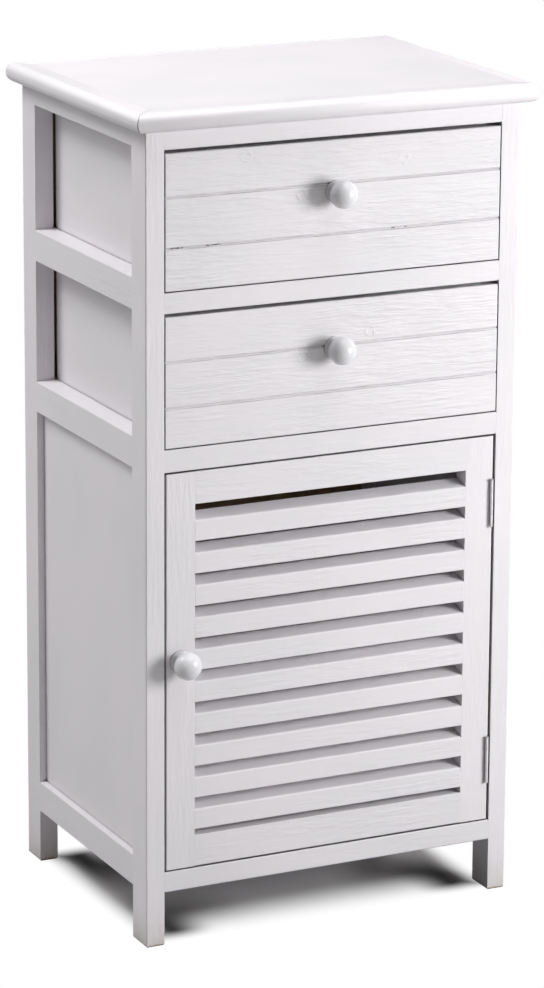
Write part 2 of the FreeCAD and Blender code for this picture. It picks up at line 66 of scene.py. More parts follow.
def paint_card(red: int, green: int, blue: int) -> Colour:
    """Linear colour of a shade given as it reads on a paint card.

    Args:
        red: Red level, 0 to 255.
        green: Green level, 0 to 255.
        blue: Blue level, 0 to 255.

    Returns:
        Linear red, green, blue and a full alpha.
    """
    def linear(level: int) -> float:
        """One channel of the shade in linear light.

        Args:
            level: Level on the paint card, 0 to 255.

        Returns:
            Share of full light.
        """
        share = level / FULL_LEVEL
        if share <= TOE_END:
            return share / TOE_SLOPE
        return ((share + TONE_LIFT) / (1 + TONE_LIFT)) ** TONE_POWER

    return (linear(red), linear(green), linear(blue), 1.0)


class Grain(Enum):
    """Way the grain of a board runs, as the turn that lays it along the pattern's X."""

    ACROSS = (0.0, 0.0, 0.0)
    DEPTH = (0.0, 0.0, math.pi / 2)
    UPRIGHT = (0.0, math.pi / 2, 0.0)


class Face(Enum):
    """Way the head of a screw looks."""

    LEFT = Vector((-1, 0, 0))
    RIGHT = Vector((1, 0, 0))
    BACK = Vector((0, 1, 0))
    DOWN = Vector((0, 0, -1))


class Clouds(Enum):
    """A cloudy pattern, as its clouds to a metre along X, Y and Z and its finer layers."""

    GRAIN_SWAY = ((9, 26, 26), 2.0)
    GRAIN_PATCHES = ((7, 17, 17), 2.0)
    BRUSH_MARKS = ((14, 700, 700), 3.0)
    SHADE = ((5, 8, 8), 3.0)
    GLOSS = ((22, 90, 90), 2.0)
    CHIPS = ((60, 60, 60), 4.0)
    RAGGED_LINES = ((130, 130, 130), 3.0)
    CRACK_PATH = ((300, 1, 300), 3.0)
    CRACK_BREAKS = ((420, 1, 1), 2.0)
    KNOT_WOBBLE = ((230, 230, 230), 3.0)
    KNOT_BREAKS = ((210, 1, 330), 2.0)
    SEAM_PATH = ((45, 1, 1), 2.0)
    SEAM_DEPTH = ((28, 1, 1), 2.0)
    BOARD_FLAKES = ((420, 420, 420), 3.0)
    KNOB_WAVES = ((150, 150, 150), 2.0)
    FIBRES = ((30, 1500, 1500), 2.0)
    TARNISH = ((190, 190, 190), 4.0)
    SCRATCHES = ((900, 2600, 500), 2.0)
    GRIT = ((2200, 2200, 2200), 1.0)
    PAPER = ((900, 900, 900), 2.0)


class Levels(Enum):
    """Two levels of a value, between which a smooth step rises from 0 to 1."""

    GRAIN_PATCHES = (0.36, 0.66)
    LUMP_REACH = (0.02, 0.14)
    LUMP_SHARE = (0.84, 0.86)
    SHADE = (0.3, 0.7)
    EDGE_TURN = (0.03, 0.22)
    CHIPS = (0.52, 0.72)
    BARE_HEIGHT = (-0.0026, -0.0008)
    LOW_TINT_HEIGHT = (-0.02, 0.03)
    CRACK_WIDTH = (0.0003, 0.0007)
    CRACK_ENDS = (0.75, 1.0)
    CRACK_BREAKS = (0.34, 0.46)
    KNOT_RING = (0.05, 0.42)
    KNOT_MIDDLE = (0.1, 0.5)
    KNOT_BREAKS = (0.36, 0.62)
    SEAM_WIDTH = (0.0002, 0.0006)
    SEAM_DEPTH = (0.3, 0.6)
    TIMBER_BANDS = (0.2, 0.6)
    TARNISH = (0.4, 0.7)
    CONTACT = (0.45, 0.95)
    SIDE_FADE = (-0.030, -0.002)
    FRONT_FADE = (-0.078, -0.003)
    FOOT_FADE = (-0.032, -0.003)
    FOOT_REACH = (-0.085, -0.040)
    FOOT_GLOOM = (-0.150, -0.045)
    FOOT_DEPTH = (-0.150, -0.050)
    FOOT_SIDE = (-0.040, -0.016)


# ---------------------------------------------------------------- node trees

@dataclass
class Graph:
    """A node tree with short calls for adding and joining its nodes."""

    tree: bpy.types.NodeTree

    def add(self, kind: str, feeds: dict[str, Feed] | None = None, **settings) -> bpy.types.Node:
        """Add a node.

        Args:
            kind: Blender's name for the node.
            feeds: What goes into its inputs, by their names.
            **settings: Properties of the node itself.

        Returns:
            The new node.
        """
        node = self.tree.nodes.new(kind)
        for name, value in settings.items():
            setattr(node, name, value)
        for name, value in (feeds or {}).items():
            self.feed(node.inputs[name], value)
        return node

    def feed(self, socket: Socket, value: Feed) -> None:
        """Join a socket to another one, or set its own value.

        Args:
            socket: The socket that takes the value.
            value: Another socket, or the value itself.
        """
        if isinstance(value, Socket):
            self.tree.links.new(value, socket)
        else:
            socket.default_value = value

    def math(self, operation: str, *values: Feed) -> Socket:
        """Work out a number from one to three others.

        Args:
            operation: Blender's name for the operation.
            *values: Numbers or sockets.

        Returns:
            The socket with the result.
        """
        node = self.add("ShaderNodeMath", operation=operation)
        for socket, value in zip(node.inputs, values):
            self.feed(socket, value)
        return node.outputs[0]

    def vector(self, operation: str, *values: Feed) -> Socket:
        """Work out a vector, or a number, from one or two vectors.

        Args:
            operation: Blender's name for the operation.
            *values: Vectors or sockets.

        Returns:
            The socket with the result.
        """
        node = self.add("ShaderNodeVectorMath", operation=operation)
        for socket, value in zip(node.inputs, values):
            self.feed(socket, value)
        return node.outputs["Value" if operation in ("LENGTH", "DOT_PRODUCT") else "Vector"]

    def split(self, vector: Socket) -> tuple[Socket, Socket, Socket]:
        """The three numbers of a vector."""
        outputs = self.add("ShaderNodeSeparateXYZ", {"Vector": vector}).outputs
        return (outputs["X"], outputs["Y"], outputs["Z"])

    def join(self, x: Feed, y: Feed, z: Feed) -> Socket:
        """A vector made of three numbers."""
        return self.add("ShaderNodeCombineXYZ", {"X": x, "Y": y, "Z": z}).outputs["Vector"]

    def step(self, value: Socket, low: Feed, high: Feed) -> Socket:
        """A smooth step of a value.

        Args:
            value: The value.
            low: Level at which the step starts from 0.
            high: Level at which it reaches 1.

        Returns:
            The socket with the result.
        """
        node = self.add(
            "ShaderNodeMapRange",
            {"Value": value, "From Min": low, "From Max": high},
            interpolation_type="SMOOTHSTEP",
        )
        return node.outputs["Result"]

    def rise(self, value: Socket, levels: Levels) -> Socket:
        """A smooth step from 0 at the first level to 1 at the second."""
        return self.step(value, *levels.value)

    def fall(self, value: Socket, levels: Levels) -> Socket:
        """A smooth step from 1 at the first level to 0 at the second."""
        return self.math("SUBTRACT", 1.0, self.rise(value, levels))

    def gap(self, first: Feed, second: Feed) -> Socket:
        """How far two numbers are apart."""
        return self.math("ABSOLUTE", self.math("SUBTRACT", first, second))

    def blend(self, factor: Feed, first: Feed, second: Feed) -> Socket:
        """Mix two colours.

        Args:
            factor: 0 for the first colour, 1 for the second.
            first: The first colour.
            second: The second colour.

        Returns:
            The socket with the colour.
        """
        node = self.add("ShaderNodeMix", data_type="RGBA")
        for number, value in ((MIX_FACTOR, factor), (MIX_FIRST, first), (MIX_SECOND, second)):
            self.feed(node.inputs[number], value)
        return node.outputs[MIX_RESULT]

    def noise(self, vector: Socket, clouds: Clouds) -> Socket:
        """Cloudy pattern between 0 and 1.

        Args:
            vector: Place on the surface, in metres.
            clouds: The pattern.

        Returns:
            The socket with the pattern.
        """
        stretch, detail = clouds.value
        place = self.vector("MULTIPLY", vector, stretch)
        node = self.add("ShaderNodeTexNoise", {"Vector": place, "Scale": 1.0, "Detail": detail})
        return node.outputs["Fac"]

    def drift(self, vector: Socket, clouds: Clouds) -> Socket:
        """Cloudy pattern between -0.5 and 0.5."""
        return self.math("SUBTRACT", self.noise(vector, clouds), 0.5)

    def use(self, group: bpy.types.NodeTree, feeds: dict[str, Feed] | None = None) -> bpy.types.NodeOutputs:
        """Place a shared effect.

        Args:
            group: The effect's node tree.
            feeds: What goes into its inputs, by their names.

        Returns:
            The effect's outputs.
        """
        return self.add("ShaderNodeGroup", feeds, node_tree=group).outputs

    def bump(self, height: Socket, depth: float, normal: Socket) -> Socket:
        """A normal that a height pattern has tilted.

        Args:
            height: The pattern, 0 to 1.
            depth: How deep the pattern is, in metres.
            normal: The normal to start from.

        Returns:
            The socket with the tilted normal.
        """
        node = self.add("ShaderNodeBump", {"Distance": depth, "Height": height, "Normal": normal})
        return node.outputs["Normal"]


@dataclass(frozen=True)
class Port:
    """One socket of a shared effect."""

    name: str
    kind: str = "NodeSocketFloat"
    level: float | None = None


PLACE = Port("Place", "NodeSocketVector")
HEIGHT = Port("Height")


class Effects:
    """The effects that several finishes share, each a node group that is built once."""

    ridges_along = 34.0
    ridge_roughness = 0.6
    quiet_grain = 0.25
    lumps_to_metre = 85.0
    mark_height = 0.35
    edge_samples = 6
    splash_rise = -0.006
    low_tint_rise = -0.03
    crack_wander = 0.0018
    knot_flatness = 1.2
    knot_wander = 0.006
    knot_dip = -0.6
    seam_wander = 0.0004
    faint_seam = 0.4

    def __init__(self) -> None:
        """Build every effect."""
        grain = [PLACE, Port("Lines per metre", level=260.0), Port("Wander", level=0.006)]
        self.relief = self._group("grain_relief", grain, [HEIGHT], self._relief)
        marks = [HEIGHT, Port("Shade"), Port("Gloss")]
        self.brush = self._group("brushed_paint", [PLACE], marks, self._brush)
        rounded = [Port("Worn"), Port("Normal", "NodeSocketVector")]
        self.edges = self._group("worn_edges", [PLACE, Port("Radius", level=0.0008)], rounded, self._edges)
        gap = [Port("Reach", level=0.005), Port("Open", level=0.75), Port("Closed", level=0.12)]
        # painted shade in gaps and joints, from ambient occlusion
        self.crevice_shading = self._group("crevice_shading", gap, [Port("Painted shade")], self._crevice_shading)
        self.foot_wear_and_tint = self._group("foot_wear_and_low_tint", [PLACE, HEIGHT], [Port("Bare"), Port("Low tint")], self._foot_wear_and_tint)
        crack = [PLACE, Port("Level"), Port("Middle"), Port("Reach")]
        self.crack = self._group("joint_crack", crack, [Port("Crack")], self._crack)
        knot = [PLACE, Port("X"), Port("Z"), Port("Size", level=0.005)]
        self.knot = self._group("painted_knot", knot, [HEIGHT], self._knot)
        self.seam = self._group("plank_seam", [PLACE, Port("Level")], [Port("Line")], self._seam)

    @staticmethod
    def _group(
        name: str, takes: Iterable[Port], gives: Iterable[Port],
        fill: Callable[[Graph, bpy.types.NodeOutputs], tuple[Socket, ...]],
    ) -> bpy.types.NodeTree:
        """Build one node group.

        Args:
            name: Name of the group.
            takes: Its inputs.
            gives: Its outputs.
            fill: Adds its nodes, and returns the sockets that it puts out.

        Returns:
            The group's node tree.
        """
        tree = bpy.data.node_groups.new(name, "ShaderNodeTree")
        for way, ports in (("INPUT", takes), ("OUTPUT", gives)):
            for port in ports:
                socket = tree.interface.new_socket(port.name, in_out=way, socket_type=port.kind)
                if port.level is not None:
                    socket.default_value = port.level
        graph = Graph(tree)
        found = fill(graph, graph.add("NodeGroupInput").outputs)
        for socket, value in zip(graph.add("NodeGroupOutput").inputs, found):
            graph.feed(socket, value)
        return tree

    def _relief(self, graph: Graph, takes: bpy.types.NodeOutputs) -> tuple[Socket, ...]:
        """Ridges of the timber's grain under the paint, in wandering lines along X.

        Args:
            graph: The group's graph.
            takes: The group's inputs.

        Returns:
            The height.
        """
        place, lines = takes["Place"], takes["Lines per metre"]
        sway = graph.math("MULTIPLY", graph.drift(place, Clouds.GRAIN_SWAY), takes["Wander"])
        bent = graph.vector("ADD", place, graph.join(0.0, sway, sway))
        spread = graph.vector("MULTIPLY", bent, graph.join(self.ridges_along, lines, lines))
        ridges = graph.add("ShaderNodeTexNoise", {
            "Vector": spread, "Scale": 1.0, "Detail": 2.0, "Roughness": self.ridge_roughness,
        }).outputs["Fac"]
        patches = graph.rise(graph.noise(place, Clouds.GRAIN_PATCHES), Levels.GRAIN_PATCHES)
        strength = graph.math("MULTIPLY_ADD", patches, 1 - self.quiet_grain, self.quiet_grain)
        return (graph.math("MULTIPLY", ridges, strength),)

    def _brush(self, graph: Graph, takes: bpy.types.NodeOutputs) -> tuple[Socket, ...]:
        """Brush marks along X, small lumps in the paint and a slow change of its shade.

        Args:
            graph: The group's graph.
            takes: The group's inputs.

        Returns:
            The height, the shade and the gloss.
        """
        place = takes["Place"]
        marks = graph.noise(place, Clouds.BRUSH_MARKS)
        pebble = graph.add("ShaderNodeTexVoronoi", {"Vector": place, "Scale": self.lumps_to_metre})
        cell = graph.split(pebble.outputs["Color"])[0]
        lump = graph.fall(pebble.outputs["Distance"], Levels.LUMP_REACH)
        lumps = graph.math("MULTIPLY", lump, graph.rise(cell, Levels.LUMP_SHARE))
        height = graph.math("MULTIPLY_ADD", marks, self.mark_height, lumps)
        shade = graph.rise(graph.noise(place, Clouds.SHADE), Levels.SHADE)
        return height, shade, graph.noise(place, Clouds.GLOSS)

    def _edges(self, graph: Graph, takes: bpy.types.NodeOutputs) -> tuple[Socket, ...]:
        """Softly rounded edges, and where the paint on them is worn thin.

        Args:
            graph: The group's graph.
            takes: The group's inputs.

        Returns:
            The wear and the rounded normal.
        """
        bevel = graph.add("ShaderNodeBevel", {"Radius": takes["Radius"]}, samples=self.edge_samples)
        soft = bevel.outputs["Normal"]
        flat = graph.add("ShaderNodeNewGeometry").outputs["True Normal"]
        turned = graph.math("SUBTRACT", 1.0, graph.vector("DOT_PRODUCT", soft, flat))
        broken = graph.rise(graph.noise(takes["Place"], Clouds.CHIPS), Levels.CHIPS)
        return graph.math("MULTIPLY", graph.rise(turned, Levels.EDGE_TURN), broken), soft

    def _crevice_shading(self, graph: Graph, takes: bpy.types.NodeOutputs) -> tuple[Socket, ...]:
        """Painted shade: how deep a place lies in a gap or a joint, found by ambient occlusion, where light
        hardly reaches.

        Args:
            graph: The group's graph.
            takes: The group's inputs.

        Returns:
            The depth, as the share of painted shade.
        """
        around = graph.add(
            "ShaderNodeAmbientOcclusion", {"Distance": takes["Reach"]}, samples=self.edge_samples,
        )
        open_share = graph.step(around.outputs["AO"], takes["Closed"], takes["Open"])
        return (graph.math("SUBTRACT", 1.0, open_share),)

    def _foot_wear_and_tint(self, graph: Graph, takes: bpy.types.NodeOutputs) -> tuple[Socket, ...]:
        """Where feet are rubbed bare, and where a warmer, darker tint rises a little above that, from the
        height above the floor.

        Args:
            graph: The group's graph.
            takes: The group's inputs.

        Returns:
            The bare wood and the warmer, darker tint.
        """
        ragged = graph.noise(takes["Place"], Clouds.RAGGED_LINES)
        line = graph.math("MULTIPLY_ADD", ragged, self.splash_rise, takes["Height"])
        tint_line = graph.math("MULTIPLY_ADD", ragged, self.low_tint_rise, takes["Height"])
        return graph.fall(line, Levels.BARE_HEIGHT), graph.fall(tint_line, Levels.LOW_TINT_HEIGHT)

    def _crack(self, graph: Graph, takes: bpy.types.NodeOutputs) -> tuple[Socket, ...]:
        """A short hairline crack in the paint along a level joint.

        Args:
            graph: The group's graph.
            takes: The group's inputs.

        Returns:
            The crack.
        """
        place = takes["Place"]
        x, _, z = graph.split(place)
        level = graph.math("MULTIPLY_ADD", graph.drift(place, Clouds.CRACK_PATH), self.crack_wander, z)
        near = graph.fall(graph.gap(level, takes["Level"]), Levels.CRACK_WIDTH)
        share = graph.math("DIVIDE", graph.gap(x, takes["Middle"]), takes["Reach"])
        here = graph.fall(share, Levels.CRACK_ENDS)
        broken = graph.rise(graph.noise(place, Clouds.CRACK_BREAKS), Levels.CRACK_BREAKS)
        return (graph.math("MULTIPLY", graph.math("MULTIPLY", near, here), broken),)

    def _knot(self, graph: Graph, takes: bpy.types.NodeOutputs) -> tuple[Socket, ...]:
        """A small knot under the paint of an upright face: a broken ring and a low middle.

        Args:
            graph: The group's graph.
            takes: The group's inputs.

        Returns:
            The height.
        """
        place = takes["Place"]
        x, _, z = graph.split(place)
        across = graph.math("SUBTRACT", x, takes["X"])
        up = graph.math("MULTIPLY", graph.math("SUBTRACT", z, takes["Z"]), self.knot_flatness)
        reach = graph.vector("LENGTH", graph.join(across, up, 0.0))
        reach = graph.math("MULTIPLY_ADD", graph.drift(place, Clouds.KNOT_WOBBLE), self.knot_wander, reach)
        reach = graph.math("DIVIDE", reach, takes["Size"])
        ring = graph.fall(graph.gap(reach, 1.0), Levels.KNOT_RING)
        middle = graph.fall(reach, Levels.KNOT_MIDDLE)
        broken = graph.rise(graph.noise(place, Clouds.KNOT_BREAKS), Levels.KNOT_BREAKS)
        whole = graph.math("MULTIPLY_ADD", middle, self.knot_dip, ring)
        return (graph.math("MULTIPLY", whole, broken),)

    def _seam(self, graph: Graph, takes: bpy.types.NodeOutputs) -> tuple[Socket, ...]:
        """A thin line painted at the lower lip of a V-joint between two level planks: painted shade of a
        shut-line gap, with some dirt in it.

        Args:
            graph: The group's graph.
            takes: The group's inputs.

        Returns:
            The line.
        """
        place = takes["Place"]
        level = graph.math(
            "MULTIPLY_ADD", graph.drift(place, Clouds.SEAM_PATH), self.seam_wander, graph.split(place)[2],
        )
        line = graph.fall(graph.gap(level, takes["Level"]), Levels.SEAM_WIDTH)
        full = graph.rise(graph.noise(place, Clouds.SEAM_DEPTH), Levels.SEAM_DEPTH)
        depth = graph.math("MULTIPLY_ADD", full, 1 - self.faint_seam, self.faint_seam)
        return (graph.math("MULTIPLY", line, depth),)


# ---------------------------------------------------------------- finishes

@dataclass
class Coat(Graph):
    """The graph of a material, with its shader and the place on the piece."""

    material: bpy.types.Material
    shader: bpy.types.Node
    here: Socket

    @classmethod
    def start(cls, name: str) -> "Coat":
        """Begin a material.

        Args:
            name: Name of the material.

        Returns:
            Its graph.
        """
        material = bpy.data.materials.new(name)
        material.use_nodes = True
        graph = Graph(material.node_tree)
        shader = next(node for node in graph.tree.nodes if node.type == "BSDF_PRINCIPLED")
        return cls(graph.tree, material, shader, graph.add("ShaderNodeTexCoord").outputs["Object"])

    def along(self, grain: Grain) -> Socket:
        """The place on the piece, turned so that the grain runs along X."""
        turned = self.add("ShaderNodeMapping", {"Vector": self.here, "Rotation": grain.value})
        return turned.outputs["Vector"]


@dataclass(frozen=True)
class Finish:
    """What every finish has: a name, and a build that joins its layers to the shader."""

    name: str

    def build(self, effects: Effects) -> bpy.types.Material:
        """Make the material.

        Args:
            effects: The shared node groups.

        Returns:
            The finished material.
        """
        coat = Coat.start(self.name)
        for name, layer in zip(("Base Color", "Roughness", "Normal"), self._layers(coat, effects)):
            coat.feed(coat.shader.inputs[name], layer)
        return coat.material

    def _layers(self, coat: Coat, effects: Effects) -> tuple[Socket, Socket, Socket]:
        """Colour, roughness and normal of the finish, which each kind of finish makes its own way."""
        raise NotImplementedError(self.name)


@dataclass(frozen=True)
class Crack:
    """Where the paint has cracked along a joint, in metres."""

    level: float
    middle: float
    reach: float


@dataclass(frozen=True)
class Paint(Finish):
    """Satin paint brushed over timber, so that the grain shows as a fine relief."""

    grain: Grain
    shade: Colour = paint_card(233, 229, 233)
    cool_shade: Colour = paint_card(228, 225, 229)
    timber_shade: Colour = paint_card(196, 178, 150)
    # A warmer, darker tint towards the foot of the posts, and its strength.
    low_tint_shade: Colour = paint_card(202, 194, 180)
    low_tint: float = 0.35
    crack_shade: Colour = paint_card(122, 114, 108)
    # Painted shade in gaps and joints: its colour, its strength and the occlusion at which it starts.
    crevice_painted_shade: Colour = paint_card(58, 54, 52)
    crevice_shade_strength: float = 0.8
    crevice_open: float = 0.75
    # Painted seam lines at the V-joints: painted shade of a shut-line gap with some dirt; its colour and
    # strength.
    seam_painted_shade: Colour = paint_card(108, 102, 106)
    seam: float = 0.48
    seams: tuple[float, ...] = ()
    roughness: float = 0.44
    gloss_change: float = 0.12
    relief: float = 0.0004
    lines: float = 260.0
    brush: float = 0.00012
    edge_radius: float = 0.0006
    worn: float = 0.35
    feet: bool = False
    cracks: tuple[Crack, ...] = ()
    knots: tuple[tuple[float, float], ...] = ()
    knot_rise: float = 0.18

    def _layers(self, coat: Coat, effects: Effects) -> tuple[Socket, Socket, Socket]:
        """Colour, roughness and normal of the paint.

        Args:
            coat: The material's graph.
            effects: The shared node groups.

        Returns:
            The three sockets.
        """
        place = coat.along(self.grain)
        brush = coat.use(effects.brush, {"Place": place})
        edges = coat.use(effects.edges, {"Place": coat.here, "Radius": self.edge_radius})
        colour = self._colour(coat, effects, brush["Shade"], edges["Worn"])
        rough = coat.math("MULTIPLY_ADD", brush["Gloss"], self.gloss_change, self.roughness)
        relief = coat.use(effects.relief, {"Place": place, "Lines per metre": self.lines})["Height"]
        for x, z in self.knots:
            knot = coat.use(effects.knot, {"Place": coat.here, "X": x, "Z": z})["Height"]
            relief = coat.math("MULTIPLY_ADD", knot, self.knot_rise, relief)
        normal = coat.bump(relief, self.relief, edges["Normal"])
        return colour, rough, coat.bump(brush["Height"], self.brush, normal)

    def _colour(self, coat: Coat, effects: Effects, shade: Socket, worn: Socket) -> Socket:
        """Shade of the paint with its wear and cracks, a warmer, darker tint near the floor, and painted
        shade along the seams and in gaps and joints.

        Args:
            coat: The material's graph.
            effects: The shared node groups.
            shade: The slow change of the shade.
            worn: Where the edges are worn.

        Returns:
            The socket with the colour.
        """
        here = coat.here
        colour = coat.blend(shade, self.shade, self.cool_shade)
        colour = coat.blend(coat.math("MULTIPLY", worn, self.worn), colour, self.timber_shade)
        if self.feet:
            # a warmer, darker tint towards the floor, with bare wood at the very bottom
            foot_wear_and_tint = coat.use(effects.foot_wear_and_tint, {"Place": here, "Height": coat.split(here)[2]})
            colour = coat.blend(coat.math("MULTIPLY", foot_wear_and_tint["Low tint"], self.low_tint), colour, self.low_tint_shade)
            colour = coat.blend(foot_wear_and_tint["Bare"], colour, self.timber_shade)
        for crack in self.cracks:
            line = coat.use(effects.crack, {
                "Place": here, "Level": crack.level, "Middle": crack.middle, "Reach": crack.reach,
            })
            colour = coat.blend(line["Crack"], colour, self.crack_shade)
        for seam in self.seams:
            # painted shade with some dirt, a thin line at the lower lip of each V-joint
            line = coat.use(effects.seam, {"Place": here, "Level": seam})["Line"]
            colour = coat.blend(coat.math("MULTIPLY", line, self.seam), colour, self.seam_painted_shade)
        # painted shade: the colour darkens where ambient occlusion finds a gap or a joint
        hollow_shading = coat.use(effects.crevice_shading, {"Open": self.crevice_open})["Painted shade"]
        return coat.blend(coat.math("MULTIPLY", hollow_shading, self.crevice_shade_strength), colour, self.crevice_painted_shade)


@dataclass(frozen=True)
class PanelPaint(Paint):
    """Paint on one side of a thin board, whose inner side is left bare and brown."""

    bare_shade: Colour = paint_card(196, 166, 132)
    bare_deep_shade: Colour = paint_card(176, 144, 108)
    bare_facing: float = -0.5

    def _colour(self, coat: Coat, effects: Effects, shade: Socket, worn: Socket) -> Socket:
        """Shade of the painted side, and of the bare side that looks to the front.

        Args:
            coat: The material's graph.
            effects: The shared node groups.
            shade: The slow change of the paint's shade.
            worn: Where the edges are worn.

        Returns:
            The socket with the colour.
        """
        painted = super()._colour(coat, effects, shade, worn)
        bare = coat.blend(coat.noise(coat.here, Clouds.BOARD_FLAKES), self.bare_shade, self.bare_deep_shade)
        facing = coat.split(coat.add("ShaderNodeNewGeometry").outputs["True Normal"])[1]
        return coat.blend(coat.math("LESS_THAN", facing, self.bare_facing), painted, bare)


@dataclass(frozen=True)
class GlossPaint(Finish):
    """Harder, glossier paint on the turned knobs, with the faint rings of the lathe under it and painted
    shade in the neck.
    """

    shade: Colour = paint_card(232, 231, 234)
    deep_shade: Colour = paint_card(222, 221, 225)
    # Painted shade in the neck of the knob: its colour, strength, occlusion reach and the occlusion at which
    # it starts.
    hollow_painted_shade: Colour = paint_card(44, 42, 42)
    hollow_shading: float = 1.0
    hollow_reach: float = 0.018
    hollow_open: float = 0.82
    roughness: float = 0.17
    gloss_change: float = 0.1
    waves: float = 0.00005
    rings: float = 0.00002
    ring_turn: float = 5200.0

    def _layers(self, coat: Coat, effects: Effects) -> tuple[Socket, Socket, Socket]:
        """Colour, roughness and normal of the paint.

        Args:
            coat: The material's graph.
            effects: The shared node groups.

        Returns:
            The three sockets.
        """
        soft = coat.add("ShaderNodeNewGeometry").outputs["Normal"]
        brush = coat.use(effects.brush, {"Place": coat.here})
        colour = coat.blend(brush["Shade"], self.shade, self.deep_shade)
        # painted shade: the neck and flange darken where ambient occlusion finds the head close
        neck = coat.use(effects.crevice_shading, {"Reach": self.hollow_reach, "Open": self.hollow_open})["Painted shade"]
        colour = coat.blend(coat.math("MULTIPLY", neck, self.hollow_shading), colour, self.hollow_painted_shade)
        rough = coat.math("MULTIPLY_ADD", brush["Gloss"], self.gloss_change, self.roughness)
        rings = coat.math("SINE", coat.math("MULTIPLY", coat.split(coat.here)[1], self.ring_turn))
        normal = coat.bump(coat.noise(coat.here, Clouds.KNOB_WAVES), self.waves, soft)
        return colour, rough, coat.bump(rings, self.rings, normal)


@dataclass(frozen=True)
class Timber(Finish):
    """Bare pale softwood, sanded but unfinished."""

    grain: Grain
    early: Colour = paint_card(222, 200, 165)
    late: Colour = paint_card(196, 164, 120)
    lines: float = 420.0
    wander: float = 0.01
    band_share: float = 0.8
    fibre_share: float = 0.3
    fibre_depth: float = 0.00008
    roughness: float = 0.62
    gloss_change: float = 0.15

    def _layers(self, coat: Coat, effects: Effects) -> tuple[Socket, Socket, Socket]:
        """Colour, roughness and normal of the timber.

        Args:
            coat: The material's graph.
            effects: The shared node groups.

        Returns:
            The three sockets.
        """
        place = coat.along(self.grain)
        feeds = {"Place": place, "Lines per metre": self.lines, "Wander": self.wander}
        relief = coat.use(effects.relief, feeds)["Height"]
        edges = coat.use(effects.edges, {"Place": coat.here})
        fibres = coat.noise(place, Clouds.FIBRES)
        bands = coat.math("MULTIPLY", coat.rise(relief, Levels.TIMBER_BANDS), self.band_share)
        mixed = coat.math("MULTIPLY_ADD", fibres, self.fibre_share, bands)
        rough = coat.math("MULTIPLY_ADD", fibres, self.gloss_change, self.roughness)
        normal = coat.bump(fibres, self.fibre_depth, edges["Normal"])
        return coat.blend(mixed, self.early, self.late), rough, normal


@dataclass(frozen=True)
class Steel(Finish):
    """Plain steel with fine scratches and a little tarnish."""

    bright: Colour = paint_card(198, 198, 200)
    dull: Colour = paint_card(150, 148, 144)
    edge_radius: float = 0.0002
    scratch_depth: float = 0.00002
    roughness: float = 0.3
    gloss_change: float = 0.22

    def _layers(self, coat: Coat, effects: Effects) -> tuple[Socket, Socket, Socket]:
        """Colour, roughness and normal of the steel.

        Args:
            coat: The material's graph.
            effects: The shared node groups.

        Returns:
            The three sockets.
        """
        coat.shader.inputs["Metallic"].default_value = 1.0
        edges = coat.use(effects.edges, {"Place": coat.here, "Radius": self.edge_radius})
        tarnish = coat.rise(coat.noise(coat.here, Clouds.TARNISH), Levels.TARNISH)
        rough = coat.math("MULTIPLY_ADD", tarnish, self.gloss_change, self.roughness)
        normal = coat.bump(coat.noise(coat.here, Clouds.SCRATCHES), self.scratch_depth, edges["Normal"])
        return coat.blend(tarnish, self.bright, self.dull), rough, normal


@dataclass(frozen=True)
class Plastic(Finish):
    """Matt moulded plastic with a fine spark-eroded texture."""

    shade: Colour = paint_card(222, 219, 211)
    pale_shade: Colour = paint_card(230, 228, 222)
    edge_radius: float = 0.0004
    grit_depth: float = 0.00003
    roughness: float = 0.42
    gloss_change: float = 0.2

    def _layers(self, coat: Coat, effects: Effects) -> tuple[Socket, Socket, Socket]:
        """Colour, roughness and normal of the plastic.

        Args:
            coat: The material's graph.
            effects: The shared node groups.

        Returns:
            The three sockets.
        """
        edges = coat.use(effects.edges, {"Place": coat.here, "Radius": self.edge_radius})
        grit = coat.noise(coat.here, Clouds.GRIT)
        rough = coat.math("MULTIPLY_ADD", grit, self.gloss_change, self.roughness)
        colour = coat.blend(edges["Worn"], self.shade, self.pale_shade)
        return colour, rough, coat.bump(grit, self.grit_depth, edges["Normal"])


# ---------------------------------------------------------------- making and placing pieces

def finished_piece(
    name: str, shape: bmesh.types.BMesh, material: bpy.types.Material, body: str,
) -> bpy.types.Object:
    """Turn a finished shape into a named piece that rides on a body.

    Args:
        name: Name of the piece.
        shape: Its shape, in place. It is used up.
        material: Its finish.
        body: Body of the frame that it rides on.

    Returns:
        The new piece.
    """
    bmesh.ops.remove_doubles(shape, verts=shape.verts, dist=TINY)
    bmesh.ops.recalc_face_normals(shape, faces=shape.faces)
    for part in shape.faces:
        part.smooth = True
    mesh = bpy.data.meshes.new(name)
    shape.to_mesh(mesh)
    shape.free()
    mesh.set_sharp_from_angle(angle=SHARP_ANGLE)
    mesh.materials.append(material)
    piece = bpy.data.objects.new(name, mesh)
    bpy.context.scene.collection.objects.link(piece)
    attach(piece, body)
    LOG.info("%s: %d faces, on %s", name, len(mesh.polygons), body)
    return piece


def dress(nodes: Iterable[str], material: bpy.types.Material) -> None:
    """Give frame nodes their finish.

    Args:
        nodes: Names of the nodes.
        material: The finish that goes on all of them.
    """
    for name in nodes:
        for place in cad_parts[name].material_slots:
            place.material = material
        LOG.info("%s: %s", name, material.name)


def ease_edges(
    shape: bmesh.types.BMesh, edges: Iterable[bmesh.types.BMEdge], width: float, segments: int = 2,
) -> None:
    """Round edges off.

    Args:
        shape: The shape that they belong to.
        edges: The edges.
        width: How far the rounding reaches from each edge.
        segments: How many faces the rounding has.
    """
    bmesh.ops.bevel(
        shape, geom=list(edges), offset=width, offset_type="OFFSET", segments=segments,
        profile=0.5, affect="EDGES", material=-1,
    )


